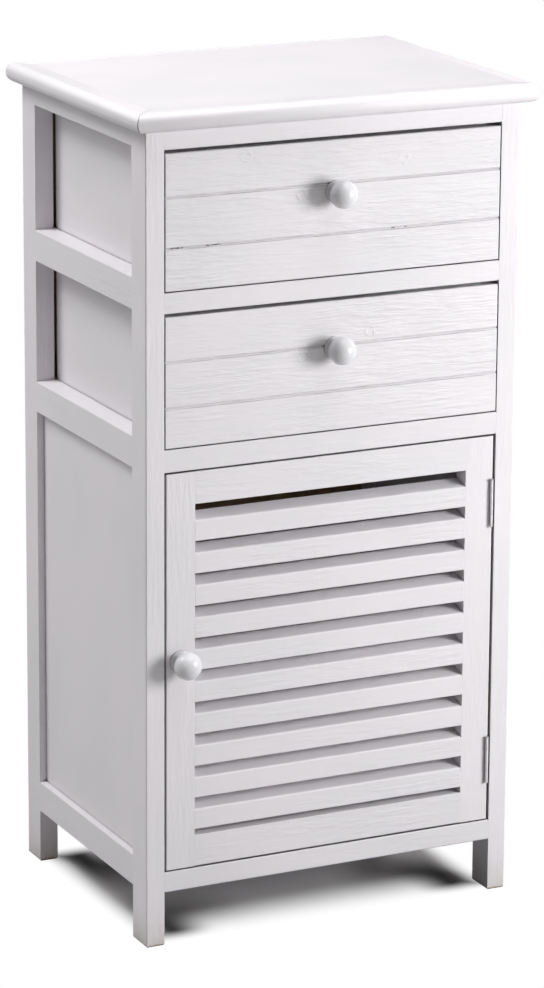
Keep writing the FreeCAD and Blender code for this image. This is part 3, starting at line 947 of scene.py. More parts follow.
@dataclass
class Screw:
    """A cross-recess screw head: a domed pan, or a countersunk head that lies flush."""

    radius: float = 3.4 * MM
    height: float = 1.9 * MM
    sunk: bool = False
    recess_reach: float = 0.56
    recess_width: float = 0.2
    recess_depth: float = 0.55
    top_facing: float = 0.9
    dome: tuple[tuple[float, float], ...] = ((0.0, 0.35), (0.1, 0.3), (0.17, 0.2), (0.2, 0.1))
    sides: int = 32

    def shape(self, spot: Vector, face: Face) -> bmesh.types.BMesh:
        """Build the head.

        Args:
            spot: Middle of the surface that the screw is driven into.
            face: Way that the head looks.

        Returns:
            The shape, in place.
        """
        head = bmesh.new()
        bmesh.ops.create_circle(head, cap_ends=True, radius=self.radius, segments=self.sides)
        lid = head.faces[:]
        for inset, rise in ((0.0, 1.0),) if self.sunk else self.dome:
            if inset:
                bmesh.ops.inset_region(head, faces=lid, thickness=inset * self.radius)
            walls = bmesh.ops.extrude_face_region(head, geom=lid)
            lid = [part for part in walls["geom"] if isinstance(part, bmesh.types.BMFace)]
            raised = {corner for part in lid for corner in part.verts}
            bmesh.ops.translate(head, vec=(0, 0, rise * self.height), verts=list(raised))
        self._cut_recess(head)
        turn = Vector((0, 0, 1)).rotation_difference(face.value).to_matrix().to_4x4()
        bmesh.ops.transform(head, matrix=Matrix.Translation(spot) @ turn, verts=head.verts)
        return head

    def _cut_recess(self, head: bmesh.types.BMesh) -> None:
        """Sink a cross into the top of the head.

        Args:
            head: The head, lying with its top along Z.
        """
        reach, half = self.recess_reach * self.radius, self.recess_width * self.radius / 2
        for axis in (Vector((1, 0, 0)), Vector((0, 1, 0))):
            for offset in (-reach, -half, half, reach):
                top = [part for part in head.faces if part.normal.z > self.top_facing]
                around = list(dict.fromkeys(edge for part in top for edge in part.edges))
                geometry = top + around + list(dict.fromkeys(end for edge in around for end in edge.verts))
                bmesh.ops.bisect_plane(head, geom=geometry, plane_co=axis * offset, plane_no=axis)
        head.normal_update()

        def in_cross(part: bmesh.types.BMFace) -> bool:
            """Whether a face belongs to the cross.

            Args:
                part: A face of the head.

            Returns:
                True inside the outline of the cross on the top.
            """
            spot = part.calc_center_median()
            near, far = sorted((abs(spot.x), abs(spot.y)))
            return part.normal.z > self.top_facing and near < half and far < reach

        cross = [part for part in head.faces if in_cross(part)]
        walls = bmesh.ops.extrude_face_region(head, geom=cross)
        sunk = {item for item in walls["geom"] if isinstance(item, bmesh.types.BMVert)}
        bmesh.ops.translate(head, vec=(0, 0, -self.recess_depth * self.height), verts=list(sunk))
        bmesh.ops.delete(head, geom=cross, context="FACES")


def screw_set(
    name: str, screw: Screw, spots: list[Vector], face: Face,
    material: bpy.types.Material, body: str,
) -> bpy.types.Object:
    """Several like screws as one piece.

    Args:
        name: Name of the piece.
        screw: The kind of screw.
        spots: Where their heads sit.
        face: Way that the heads look.
        material: Their finish.
        body: Body that they ride on.

    Returns:
        The new piece.
    """
    whole = bmesh.new()
    holder = bpy.data.meshes.new(name + "_one")
    for spot in spots:
        one = screw.shape(spot, face)
        one.to_mesh(holder)
        one.free()
        whole.from_mesh(holder)
    bpy.data.meshes.remove(holder)
    return finished_piece(name, whole, material, body)


# ---------------------------------------------------------------- sub-assemblies

@dataclass
class TurnedKnob:
    """A lathe-turned knob: flange, waisted neck and a domed head, with its screw behind."""

    node: str
    body: str
    name: str
    panel_thickness: float
    flange: float = 10.4 * MM
    flange_edge: float = 2.2 * MM
    flange_round: float = 0.7 * MM
    neck: float = 6.2 * MM
    neck_start: float = 4.6 * MM
    neck_end: float = 8.6 * MM
    flare: float = 0.9 * MM
    flare_drop: float = 0.5 * MM
    flare_rise: float = 0.4 * MM
    waist: float = 0.2 * MM
    rim: float = 15.5 * MM
    steps: int = 72
    arc_points: int = 14
    edge_points: int = 4

    def _profile(self, radius: float, reach: float) -> list[tuple[float, float]]:
        """Radius and distance from the face of each point of the outline, from foot to tip.

        Args:
            radius: Largest radius of the head.
            reach: Distance of the tip from the face.

        Returns:
            The points in order.
        """
        round_start = self.flange_edge - self.flange_round
        points = [(0.0, 0.0), (self.flange, 0.0), (self.flange, round_start)]
        for number in range(1, self.edge_points + 1):
            angle = math.pi / 2 * number / self.edge_points
            points.append((
                self.flange - self.flange_round * (1 - math.cos(angle)),
                round_start + self.flange_round * math.sin(angle),
            ))
        points += [
            (self.neck + self.flare, self.neck_start - self.flare_drop),
            (self.neck, self.neck_start + self.flare_rise),
            (self.neck - self.waist, (self.neck_start + self.neck_end) / 2),
        ]
        start = math.acos(self.neck / radius)
        depth = (self.rim - self.neck_end) / math.sin(start)
        for number in range(self.arc_points):
            angle = start * (1 - number / self.arc_points)
            points.append((radius * math.cos(angle), self.rim - depth * math.sin(angle)))
        for number in range(self.arc_points + 1):
            angle = math.pi / 2 * number / self.arc_points
            points.append((radius * math.cos(angle), self.rim + (reach - self.rim) * math.sin(angle)))
        return points

    def build(self, paint: bpy.types.Material, steel: bpy.types.Material) -> None:
        """Turn the knob, and put the head of its screw on the back of the panel.

        Args:
            paint: Finish of the knob.
            steel: Finish of the screw.
        """
        low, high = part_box(self.node)
        axis = Vector(((low.x + high.x) / 2, high.y, (low.z + high.z) / 2))
        turned = bmesh.new()
        profile = self._profile((high.x - low.x) / 2, high.y - low.y)
        ring = [turned.verts.new((radius, -reach, 0)) for radius, reach in profile]
        for first, second in zip(ring, ring[1:]):
            turned.edges.new((first, second))
        bmesh.ops.spin(
            turned, geom=turned.verts[:] + turned.edges[:], cent=(0, 0, 0), axis=(0, 1, 0),
            angle=2 * math.pi, steps=self.steps, use_merge=True, use_duplicate=False,
        )
        bmesh.ops.translate(turned, vec=axis, verts=turned.verts)
        piece = finished_piece(self.name, turned, paint, self.body)
        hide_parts(self.node)
        behind = axis + Vector((0, self.panel_thickness, 0))
        screw_set(self.name + "_screw", Screw(), [behind], Face.BACK, steel, self.body)


@dataclass
class NosingStrip:
    """One strip of the frame round the top: rounded outer edges and mitred ends."""

    node: str
    name: str
    turn: float
    width: float = 20.0 * MM
    radius: float = 8.0 * MM
    segments: int = 10
    mitre_gap: float = 0.15 * MM
    mitre_ease: float = 0.25 * MM
    mitre_lean: float = -0.03

    def build(self, paint: bpy.types.Material) -> None:
        """Shape the strip and lay it along its edge of the top.

        Args:
            paint: Finish of the strip.
        """
        low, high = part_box(self.node)
        size = high - low
        length, thickness = max(size.x, size.y), size.z
        strip = bmesh.new()
        bmesh.ops.create_cube(strip, size=1.0)
        bmesh.ops.scale(strip, vec=(length, self.width, thickness), verts=strip.verts)
        bmesh.ops.translate(strip, vec=(0, self.width / 2, 0), verts=strip.verts)
        outer = [
            edge for edge in strip.edges
            if all(end.co.y < TINY for end in edge.verts)
            and abs(edge.verts[0].co.z - edge.verts[1].co.z) < TINY
        ]
        ease_edges(strip, outer, self.radius, self.segments)
        for side in (-1, 1):
            self._mitre(strip, side, length, thickness)
        middle = (low + high) / 2
        edge = middle + Matrix.Rotation(self.turn, 3, "Z") @ Vector((0, -self.width / 2, 0))
        place = Matrix.Translation(edge) @ Matrix.Rotation(self.turn, 4, "Z")
        bmesh.ops.transform(strip, matrix=place, verts=strip.verts)
        piece = finished_piece(self.name, strip, paint, "carcass")
        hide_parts(self.node)

    def _mitre(self, strip: bmesh.types.BMesh, side: int, length: float, thickness: float) -> None:
        """Cut one end at 45 degrees, a little open below, close it and ease the edge of the cut.

        Args:
            strip: The strip, lying along X with its outer edge at y = 0.
            side: -1 for the left end, 1 for the right end.
            length: Full length of the strip.
            thickness: Height of the strip.
        """
        cut = bmesh.ops.bisect_plane(
            strip, geom=strip.verts[:] + strip.edges[:] + strip.faces[:],
            plane_co=(side * (length / 2 - self.mitre_gap), 0, thickness / 2),
            plane_no=(side, 1, self.mitre_lean),
            clear_outer=True,
        )
        rim = [item for item in cut["geom_cut"] if isinstance(item, bmesh.types.BMEdge)]
        bmesh.ops.edgeloop_fill(strip, edges=rim)
        ease_edges(strip, rim, self.mitre_ease)


@dataclass
class TableTop:
    """The flat board and the four strips that frame it."""

    board: str = "top_board"
    strips: tuple[tuple[str, str, float], ...] = (
        ("nosing_front", "front_nosing_strip", 0.0),
        ("nosing_right", "right_nosing_strip", math.pi / 2),
        ("nosing_back", "back_nosing_strip", math.pi),
        ("nosing_left", "left_nosing_strip", -math.pi / 2),
    )

    def build(self, effects: Effects) -> None:
        """Dress the board and shape the strips.

        Args:
            effects: The shared node groups.
        """
        top = {"relief": 0.00009, "brush": 0.00008, "edge_radius": 0.0004, "worn": 0.0, "roughness": 0.4}
        across = Paint("top_paint_across", Grain.ACROSS, **top).build(effects)
        depth = Paint("top_paint_depth", Grain.DEPTH, **top).build(effects)
        dress([self.board], across)
        for node, name, turn in self.strips:
            strip = NosingStrip(node, name, turn)
            strip.build(across if "front" in name or "back" in name else depth)


@dataclass
class Carcass:
    """Posts, rails, panels, floor, shelf and the battens that carry the drawers."""

    posts: tuple[str, ...] = ("post_front_left", "post_front_right", "post_rear_left", "post_rear_right")
    levels: tuple[str, ...] = ("bottom", "middle", "upper", "top")

    def build(self, effects: Effects) -> None:
        """Dress every fixed board.

        Args:
            effects: The shared node groups.
        """
        dress(self.posts, Paint("post_paint", Grain.UPRIGHT, feet=True).build(effects))
        # painted shade: the gaps over the drawers are darkened almost fully
        front = Paint("front_rail_paint", Grain.ACROSS, relief=0.0006, crevice_shade_strength=0.96).build(effects)
        dress(["front_rail_" + level for level in self.levels], front)
        across = Paint("frame_paint_across", Grain.ACROSS, relief=0.0006).build(effects)
        dress(["back_rail_bottom", "back_rail_top", "inner_shelf"], across)
        depth = Paint("frame_paint_depth", Grain.DEPTH).build(effects)
        for side in ("left", "right"):
            dress([f"side_rail_{side}_{level}" for level in self.levels], depth)
        dress(["drawer_runners"], depth)
        panel = Paint("panel_paint", Grain.UPRIGHT, relief=0.00006, lines=500.0, worn=0.0)
        dress(["side_panel_left", "side_panel_right"], panel.build(effects))
        back = PanelPaint("back_panel_paint", Grain.UPRIGHT, relief=0.00006, lines=500.0, worn=0.0)
        dress(["back_panel"], back.build(effects))
        floor = Paint("floor_board_paint", Grain.ACROSS, relief=0.00006, worn=0.1)
        dress(["floor_board"], floor.build(effects))
        batten = Timber("batten_timber", Grain.DEPTH).build(effects)
        dress(["drawer_stops", "floor_cleats", "shelf_cleats"], batten)


@dataclass
class Drawer:
    """A drawer with a front of three V-jointed planks."""

    name: str
    knots: tuple[tuple[float, float], ...] = ()
    cracks: tuple[tuple[float, float], ...] = ()
    plank_thickness: float = 15.0 * MM
    joint_chamfer: float = 1.4 * MM

    def build(self, effects: Effects, knob_paint: bpy.types.Material, steel: bpy.types.Material) -> None:
        """Dress the boards and turn the knob.

        Args:
            effects: The shared node groups.
            knob_paint: Finish of the knob.
            steel: Finish of its screw.
        """
        planks = [f"{self.name}_plank_{place}" for place in ("top", "middle", "bottom")]
        joints = [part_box(plank)[0].z for plank in planks[:-1]]
        cracks = tuple(Crack(joints[-1], middle, reach) for middle, reach in self.cracks)
        # painted shade in the gaps above the planks and at the V-joints, and painted seam lines
        front = Paint(
            f"{self.name}_front_paint", Grain.ACROSS, relief=0.0019, lines=270.0, edge_radius=0.0009,
            crevice_shade_strength=0.96, crevice_open=0.5, cracks=cracks, knots=self.knots,
            seams=tuple(joint - self.joint_chamfer for joint in joints),
        )
        dress(planks, front.build(effects))
        side = Paint(f"{self.name}_side_paint", Grain.DEPTH, relief=0.00012, worn=0.2)
        dress([f"{self.name}_side_left", f"{self.name}_side_right"], side.build(effects))
        inside = Paint(f"{self.name}_inside_paint", Grain.ACROSS, relief=0.00012, worn=0.2)
        dress([f"{self.name}_back", f"{self.name}_bottom"], inside.build(effects))
        name = self.name
        knob = TurnedKnob(f"{name}_knob", name, f"{name}_turned_knob", self.plank_thickness)
        knob.build(knob_paint, steel)


@dataclass
class HingeSide:
    """The leaves of one side of both hinges, each with the knuckles that are rolled from it."""

    node: str
    body: str
    outer_knuckles: bool
    height: float = 45.0 * MM
    share: float = 12.0 * MM
    clearance: float = 0.25 * MM
    barrel: float = 2.0 * MM
    radius: float = 1.35 * MM
    thickness: float = 1.0 * MM
    strap: float = 0.6 * MM
    depth: float = 14.0 * MM
    relief: float = 3.0 * MM
    ease: float = 0.22 * MM
    sides: int = 40

    def build(self, knuckle_paint: bpy.types.Material, leaf_paint: bpy.types.Material) -> None:
        """Roll the knuckles and lay the leaves in the gap behind them.

        Args:
            knuckle_paint: Finish of the knuckles.
            leaf_paint: Finish of the leaves.
        """
        low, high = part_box(self.node)
        axis = Vector((low.x + self.barrel, low.y + self.barrel, 0))
        knuckles, leaves = bmesh.new(), bmesh.new()
        for middle in (low.z + self.height / 2, high.z - self.height / 2):
            front = Vector((high.x - self.thickness / 2, high.y - self.depth + self.relief, middle))
            length = high.y - front.y
            plate = front + Vector((0, length / 2, 0))
            self._bar(leaves, plate, Vector((self.thickness, length, self.height)), 0.0)
            for span in self._spans(middle):
                self._knuckle(knuckles, axis, span)
                self._strap(leaves, axis, front, span)
        for name, shape, paint, slot in (
            ("knuckles", knuckles, knuckle_paint, "painted_steel"),
            ("leaves", leaves, leaf_paint, "bare_steel"),
        ):
            piece = finished_piece(f"{self.body}_hinge_{name}", shape, paint, self.body)
            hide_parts(self.node)

    def _spans(self, middle: float) -> list[tuple[float, float]]:
        """Where the knuckles of a hinge stand.

        Args:
            middle: Height of the middle of the hinge.

        Returns:
            The lowest and highest point of each knuckle.
        """
        low, high = middle - self.height / 2, middle + self.height / 2
        if self.outer_knuckles:
            return [(low, low + self.share), (high - self.share, high)]
        edge = self.share + self.clearance
        return [(low + edge, high - edge)]

    def _knuckle(self, shape: bmesh.types.BMesh, axis: Vector, span: tuple[float, float]) -> None:
        """Add one knuckle with eased ends.

        Args:
            shape: The shape that it is added to.
            axis: A point on the axis of the hinge.
            span: Its lowest and highest point.
        """
        rise = span[1] - span[0]
        made = bmesh.ops.create_cone(
            shape, cap_ends=True, segments=self.sides, radius1=self.radius, radius2=self.radius, depth=rise,
        )
        corners = made["verts"]
        edges = dict.fromkeys(edge for corner in corners for edge in corner.link_edges)
        rims = [edge for edge in edges if abs(edge.verts[0].co.z - edge.verts[1].co.z) < TINY]
        bmesh.ops.translate(shape, vec=axis + Vector((0, 0, sum(span) / 2)), verts=corners)
        ease_edges(shape, rims, self.ease)

    def _strap(
        self, shape: bmesh.types.BMesh, axis: Vector, front: Vector, span: tuple[float, float],
    ) -> None:
        """Join the front edge of a plate to the back of its knuckle.

        Args:
            shape: The shape that the strap is added to.
            axis: A point on the axis of the hinge.
            front: Middle of the plate's front edge.
            span: Lowest and highest point of the knuckle.
        """
        slant = Vector((1, 1, 0)).normalized() * (self.radius - self.strap / 2)
        start = Vector((axis.x, axis.y, sum(span) / 2)) + slant
        way = Vector((front.x, front.y + self.strap / 2, start.z)) - start
        size = Vector((way.length + self.strap / 2, self.strap, span[1] - span[0]))
        self._bar(shape, start + way / 2, size, math.atan2(way.y, way.x))

    def _bar(self, shape: bmesh.types.BMesh, place: Vector, size: Vector, turn: float) -> None:
        """Add a flat bar with eased edges.

        Args:
            shape: The shape that it is added to.
            place: Its middle.
            size: Its length, thickness and height.
            turn: Its turn about the upright.
        """
        corners = bmesh.ops.create_cube(shape, size=1.0)["verts"]
        edges = dict.fromkeys(edge for corner in corners for edge in corner.link_edges)
        bmesh.ops.scale(shape, vec=size, verts=corners)
        matrix = Matrix.Translation(place) @ Matrix.Rotation(turn, 4, "Z")
        bmesh.ops.transform(shape, matrix=matrix, verts=corners)
        ease_edges(shape, edges, self.ease / 2)


@dataclass
class LouvredDoor:
    """The louvred door with its knob and the leaves, screws and plate fixed to it."""

    thickness: float = 18.0 * MM
    leaf_thickness: float = 1.0 * MM
    leaf_half_height: float = 22.5 * MM
    leaf_proud: float = 0.08 * MM
    leaf_screw: Screw = field(default_factory=lambda: Screw(2.3 * MM, 0.2 * MM, sunk=True, recess_depth=0.7))
    leaf_screw_inset: float = 8.2 * MM
    leaf_screw_spread: float = 13.5 * MM
    plate_screw_inset: float = 5.5 * MM

    def build(self, effects: Effects, knob_paint: bpy.types.Material, steel: bpy.types.Material) -> None:
        """Dress the door and add its small hardware.

        Args:
            effects: The shared node groups.
            knob_paint: Finish of the knob.
            steel: Finish of the screws and the plate.
        """
        # painted shade, brownish, on the stiles where they meet the slats and in other gaps
        upright = Paint(
            "door_stile_paint", Grain.UPRIGHT, relief=0.0005, crevice_painted_shade=paint_card(76, 67, 56),
            crevice_shade_strength=0.9, crevice_open=0.66,
        )
        dress(["door_stile_knob_side", "door_stile_hinge_side"], upright.build(effects))
        across = Paint("door_rail_paint", Grain.ACROSS, relief=0.0009)
        dress(["door_rail_bottom", "door_rail_top"], across.build(effects))
        # painted shade, lighter, in the gaps between the slats
        slats = Paint(
            "slat_paint", Grain.ACROSS, relief=0.0008, lines=300.0, edge_radius=0.001,
            crevice_shade_strength=0.45, crevice_open=0.5,
        )
        dress(["louvre_slats"], slats.build(effects))
        dress(["catch_plate"], steel)
        thin = {"relief": 0.00002, "edge_radius": 0.0003, "worn": 0.6}
        knuckle = Paint("hinge_knuckle_paint", Grain.UPRIGHT, crevice_shade_strength=0.0, **thin).build(effects)
        leaf = Steel("hinge_leaf_steel").build(effects)
        HingeSide("hinge_door_leaves", "door", outer_knuckles=False).build(knuckle, leaf)
        HingeSide("hinge_frame_leaves", "carcass", outer_knuckles=True).build(knuckle, leaf)
        knob = TurnedKnob("door_knob", "door", "door_turned_knob", self.thickness)
        knob.build(knob_paint, steel)
        self._leaf_screws("door_leaf_screws", "hinge_door_leaves", Face.RIGHT, steel, "door")
        self._leaf_screws("frame_leaf_screws", "hinge_frame_leaves", Face.LEFT, steel, "carcass")
        self._plate_screws(steel)

    def _leaf_screws(
        self, name: str, node: str, face: Face, steel: bpy.types.Material, body: str,
    ) -> None:
        """Countersunk screws through both leaves of one side.

        Args:
            name: Name of the piece.
            node: The node with the two leaves.
            face: Way that the leaves look.
            steel: Finish of the screws.
            body: Body that they ride on.
        """
        low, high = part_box(node)
        plate = high.y - self.leaf_screw_inset
        if face is Face.RIGHT:
            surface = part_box("door_stile_hinge_side")[1].x + self.leaf_thickness
        else:
            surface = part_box("post_front_right")[0].x - self.leaf_thickness
        sunk = face.value * (self.leaf_proud - self.leaf_screw.height)
        spots = [
            Vector((surface, plate, middle + step)) + sunk
            for middle in (low.z + self.leaf_half_height, high.z - self.leaf_half_height)
            for step in (-self.leaf_screw_spread, self.leaf_screw_spread)
        ]
        screw_set(name, self.leaf_screw, spots, face, steel, body)

    def _plate_screws(self, steel: bpy.types.Material) -> None:
        """Two countersunk screws that hold the catch plate to the back of the door.

        Args:
            steel: Finish of the screws.
        """
        low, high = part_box("catch_plate")
        height = (low.z + high.z) / 2
        back = high.y + self.leaf_proud / 2 - self.leaf_screw.height
        inset = self.plate_screw_inset
        spots = [Vector((x, back, height)) for x in (low.x + inset, high.x - inset)]
        screw_set("catch_plate_screws", self.leaf_screw, spots, Face.BACK, steel, "door")


@dataclass
class MagneticCatch:
    """The catch under the middle rail: moulded body, two steel poles and a magnet between."""

    pole_length: float = 22.0 * MM
    pole_thickness: float = 1.4 * MM
    pole_spacing: float = 5.6 * MM
    pole_proud: float = 0.12 * MM
    pole_depth: float = 3.0 * MM
    pole_drop: float = 1.0 * MM
    pole_ease: float = 0.1 * MM
    ear: float = 4.0 * MM
    ear_thickness: float = 2.0 * MM
    screw: Screw = field(default_factory=lambda: Screw(2.7 * MM, 1.5 * MM))

    def build(self, effects: Effects, steel: bpy.types.Material) -> None:
        """Dress the catch and add its poles and screws.

        Args:
            effects: The shared node groups.
            steel: Finish of the poles and screws.
        """
        dress(["door_catch"], Plastic("catch_plastic_matt").build(effects))
        low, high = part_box("door_catch")
        middle = (low + high) / 2
        depth = low.y - self.pole_proud + self.pole_depth / 2
        size = (self.pole_length, self.pole_depth, self.pole_thickness)
        poles = bmesh.new()
        for side in (-1, 1):
            corners = bmesh.ops.create_cube(poles, size=1.0)["verts"]
            bmesh.ops.scale(poles, vec=size, verts=corners)
            height = middle.z - self.pole_drop + side * self.pole_spacing / 2
            bmesh.ops.translate(poles, vec=(middle.x, depth, height), verts=corners)
        ease_edges(poles, poles.edges[:], self.pole_ease)
        finished_piece("catch_poles", poles, steel, "carcass")
        under = high.z - self.ear_thickness
        spots = [Vector((x, middle.y, under)) for x in (low.x + self.ear, high.x - self.ear)]
        screw_set("catch_screws", self.screw, spots, Face.DOWN, steel, "carcass")


# ---------------------------------------------------------------- floor, lamps and camera

@dataclass(frozen=True)
class Lamp:
    """A soft round studio lamp."""

    name: str
    place: tuple[float, float, float]
    aim: tuple[float, float, float]
    size: float
    level: float

    def build(self) -> None:
        """Hang the lamp. Its level is what a white face square to it reads at the aim."""
        light = bpy.data.lights.new(self.name, "AREA")
        light.shape = "DISK"
        light.size = self.size
        ray = Vector(self.aim) - Vector(self.place)
        light.energy = self.level * math.pi ** 2 * ray.length_squared
        lamp = bpy.data.objects.new(self.name, light)
        lamp.location = self.place
        lamp.rotation_euler = ray.to_track_quat("-Z", "Y").to_euler()
        bpy.context.scene.collection.objects.link(lamp)


@dataclass
class Studio:
    """Pale floor, white surroundings, soft lamps and the camera."""

    floor_size: float = 6.0
    floor_cells: int = 8
    floor_shade: Colour = paint_card(188, 187, 188)
    # Painted shadow colour for the floor beside the feet and between them and the rail.
    painted_contact_shadow: Colour = paint_card(70, 69, 71)
    contact_reach: float = 0.048
    contact_samples: int = 8
    floor_gloss: float = 0.1
    floor_roughness: float = 0.85
    paper_change: float = 0.1
    surround: float = 0.06
    lamps: tuple[Lamp, ...] = (
        Lamp("key_lamp", (1.24, -1.38, 0.77), (0, 0, 0.4), 0.85, 0.84),
        Lamp("overhead_lamp", (0.3, -0.3, 3.0), (0, 0, 0.4), 2.0, 0.55),
        Lamp("left_lamp", (-1.6, 0.55, 2.9), (0, 0, 0.4), 1.3, 0.56),
        Lamp("side_lamp", (-1.4, 0.9, 1.5), (0, 0, 0.4), 0.9, 0.2),
        Lamp("rear_lamp", (1.3, 2.3, 0.5), (0, 0, 0.4), 0.4, 0.26),
        Lamp("sparkle_lamp", (0.63, -1.7, 2.13), (0, 0, 0.6), 0.3, 0.05),
    )
    camera_place: tuple[float, float, float] = (-1.6662, -3.4272, 1.4331)
    yaw: float = math.radians(25.934)
    pitch: float = math.radians(14.138)
    roll: float = math.radians(0.346)
    lens: float = 153.83
    shift: float = -0.1014
    near_limit: float = 0.05
    far_limit: float = 50.0

    def build(self) -> None:
        """Lay the floor, light the scene and set the camera."""
        bpy.context.scene.view_settings.view_transform = "Standard"
        self._floor()
        self._surroundings()
        for lamp in self.lamps:
            lamp.build()
        self._camera()
        LOG.info("studio ready")

    @staticmethod
    def _seen_directly(graph: Graph) -> Socket:
        """1 for the rays that see the background straight from the camera."""
        return graph.add("ShaderNodeLightPath").outputs["Is Camera Ray"]

    def _floor(self) -> None:
        """A pale floor that keeps the shadow and fades to white further out."""
        cells = self.floor_cells
        plane = bmesh.new()
        bmesh.ops.create_grid(plane, x_segments=cells, y_segments=cells, size=self.floor_size)
        mesh = bpy.data.meshes.new("studio_floor")
        plane.to_mesh(mesh)
        plane.free()
        mesh.materials.append(self._paper())
        floor = bpy.data.objects.new("studio_floor", mesh)
        bpy.context.scene.collection.objects.link(floor)

    def _paper(self) -> bpy.types.Material:
        """Finish of the floor: painted shadow beside the feet and under the front rail on top of the lamps'
        shadow, and a painted white glow to the camera further out.

        Returns:
            The finished material.
        """
        graph = Coat.start("studio_floor_paper")
        shader = graph.shader
        fibres = graph.noise(graph.here, Clouds.PAPER)
        # painted contact shadow: ambient occlusion darkens the floor next to the feet
        around = graph.add(
            "ShaderNodeAmbientOcclusion", {"Distance": self.contact_reach}, samples=self.contact_samples,
        )
        painted_contact_mask = graph.fall(around.outputs["AO"], Levels.CONTACT)
        across, deep = self._from_feet(graph)
        painted_floor_shadow = graph.math("MAXIMUM", painted_contact_mask, self._painted_foot_shadow(graph, across, deep))
        paper = graph.blend(painted_floor_shadow, self.floor_shade, self.painted_contact_shadow)
        graph.feed(shader.inputs["Base Color"], paper)
        shader.inputs["Specular IOR Level"].default_value = self.floor_gloss
        rough = graph.math("MULTIPLY_ADD", fibres, self.paper_change, self.floor_roughness)
        graph.feed(shader.inputs["Roughness"], rough)
        white = graph.add("ShaderNodeEmission", {"Strength": 1.0}).outputs["Emission"]
        # painted white glow: it hides the floor's real shadow outside the shape set from the feet
        bright = self._painted_glow_share(graph, across, deep)
        factor = graph.math("MULTIPLY", bright, self._seen_directly(graph))
        mixed = graph.add("ShaderNodeMixShader", {0: factor, 1: shader.outputs["BSDF"], 2: white})
        output = next(node for node in graph.tree.nodes if node.type == "OUTPUT_MATERIAL")
        graph.feed(output.inputs["Surface"], mixed.outputs["Shader"])
        return graph.material

    @staticmethod
    def _from_feet(graph: Coat) -> tuple[Socket, Socket]:
        """Distance of a place on the floor outside the rectangle of the four feet, negative within it.

        Args:
            graph: The floor's graph.

        Returns:
            The sockets with the distance across and the distance in depth.
        """
        low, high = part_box("post_front_left")[0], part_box("post_rear_right")[1]
        middle, half = (low + high) / 2, (high - low) / 2
        offset = graph.vector("ABSOLUTE", graph.vector("SUBTRACT", graph.here, (middle.x, middle.y, 0.0)))
        across, deep, _ = graph.split(graph.vector("SUBTRACT", offset, (half.x, half.y, 0.0)))
        return across, deep

    @staticmethod
    def _painted_glow_share(graph: Graph, across: Socket, deep: Socket) -> Socket:
        """Share of painted white glow on the floor to the camera, which hides the lamps' shadow beyond a
        shape set from the feet.

        Args:
            graph: The floor's graph.
            across: Distance outside the feet across.
            deep: Distance outside the feet in depth.

        Returns:
            The socket with the share, 0 under the cabinet and 1 further out.
        """
        aside, ahead = graph.rise(across, Levels.SIDE_FADE), graph.rise(deep, Levels.FRONT_FADE)
        near_foot = graph.rise(across, Levels.FOOT_REACH)
        shorter = graph.math("SUBTRACT", graph.rise(deep, Levels.FOOT_FADE), ahead)
        return graph.math("MAXIMUM", aside, graph.math("MULTIPLY_ADD", near_foot, shorter, ahead))

    @staticmethod
    def _painted_foot_shadow(graph: Graph, across: Socket, deep: Socket) -> Socket:
        """How strongly painted shadow lies on a place of the floor between a foot and the rail, placed from
        the feet.

        Args:
            graph: The floor's graph.
            across: Distance outside the feet across.
            deep: Distance outside the feet in depth.

        Returns:
            The socket with the share, 1 in the deepest painted shadow.
        """
        near_foot = graph.rise(across, Levels.FOOT_GLOOM)
        near_line = graph.rise(deep, Levels.FOOT_DEPTH)
        within = graph.fall(across, Levels.FOOT_SIDE)
        return graph.math("MULTIPLY", within, graph.math("MULTIPLY", near_foot, near_line))

    def _surroundings(self) -> None:
        """White where it is seen, and a soft even light elsewhere."""
        world = bpy.data.worlds.new("studio_surround")
        world.use_nodes = True
        graph = Graph(world.node_tree)
        graph.tree.nodes.clear()
        soft = graph.add("ShaderNodeBackground", {"Color": (1, 1, 1, 1), "Strength": self.surround})
        white = graph.add("ShaderNodeBackground", {"Color": (1, 1, 1, 1), "Strength": 1.0})
        mixed = graph.add("ShaderNodeMixShader", {
            0: self._seen_directly(graph), 1: soft.outputs["Background"], 2: white.outputs["Background"],
        })
        graph.add("ShaderNodeOutputWorld", {"Surface": mixed.outputs["Shader"]})
        bpy.context.scene.world = world

    def _camera(self) -> None:
        """Set the camera, from the front left and a little above."""
        data = bpy.data.cameras.new("front_left_camera")
        data.lens = self.lens
        data.shift_y = self.shift
        data.clip_start, data.clip_end = self.near_limit, self.far_limit
        forward = Vector((
            math.sin(self.yaw) * math.cos(self.pitch),
            math.cos(self.yaw) * math.cos(self.pitch),
            -math.sin(self.pitch),
        ))
        level = Vector((math.cos(self.yaw), -math.sin(self.yaw), 0.0))
        lift = level.cross(forward)
        right = math.cos(self.roll) * level + math.sin(self.roll) * lift
        up = math.cos(self.roll) * lift - math.sin(self.roll) * level
        camera = bpy.data.objects.new("front_left_camera", data)
        turn = Matrix((right, up, -forward)).transposed().to_4x4()
        camera.matrix_world = Matrix.Translation(self.camera_place) @ turn
        bpy.context.scene.collection.objects.link(camera)
        bpy.context.scene.camera = camera


# ---------------------------------------------------------------- the whole cabinet

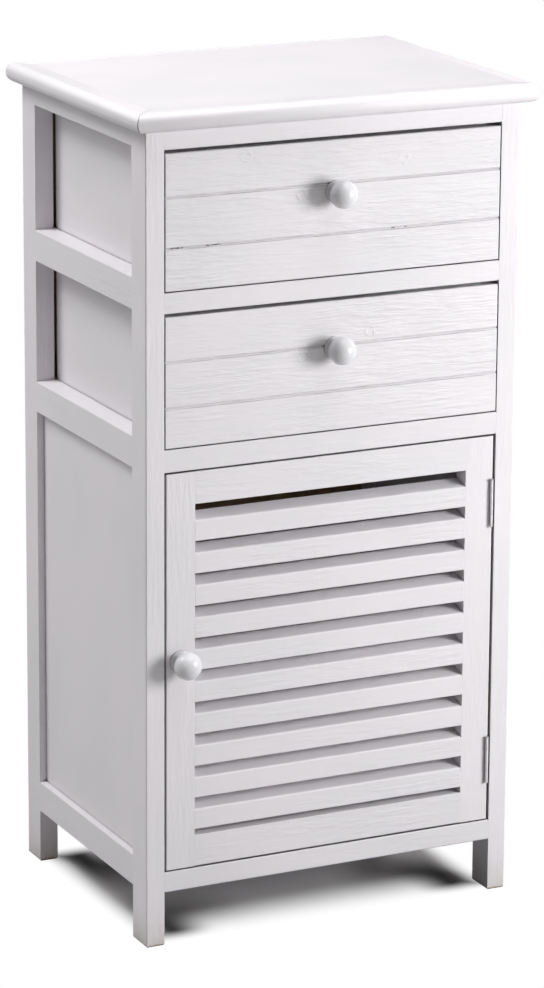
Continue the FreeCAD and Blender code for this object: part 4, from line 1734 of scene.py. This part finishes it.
def main() -> None:
    """Dress the cabinet piece by piece."""
    logging.basicConfig(level=logging.INFO, format="%(name)s: %(message)s")
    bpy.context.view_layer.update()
    effects = Effects()
    steel = Steel("bare_steel_hardware").build(effects)
    knob_paint = GlossPaint("knob_gloss_paint").build(effects)
    dress(["hinge_pins"], steel)

    Carcass().build(effects)
    TableTop().build(effects)
    drawers = (
        Drawer(
            "upper_drawer",
            knots=((-33.5 * MM, 688 * MM), (-88.7 * MM, 728 * MM), (68.5 * MM, 714 * MM)),
            cracks=(
                (-156.5 * MM, 8 * MM), (-120 * MM, 9 * MM), (58.6 * MM, 2 * MM), (71.2 * MM, 1.2 * MM),
            ),
        ),
        Drawer("lower_drawer", knots=((-30.5 * MM, 540 * MM), (36.5 * MM, 557 * MM))),
    )
    for drawer in drawers:
        drawer.build(effects, knob_paint, steel)
    LouvredDoor().build(effects, knob_paint, steel)
    MagneticCatch().build(effects, steel)
    Studio().build()


if __name__ == "__main__":
    main()
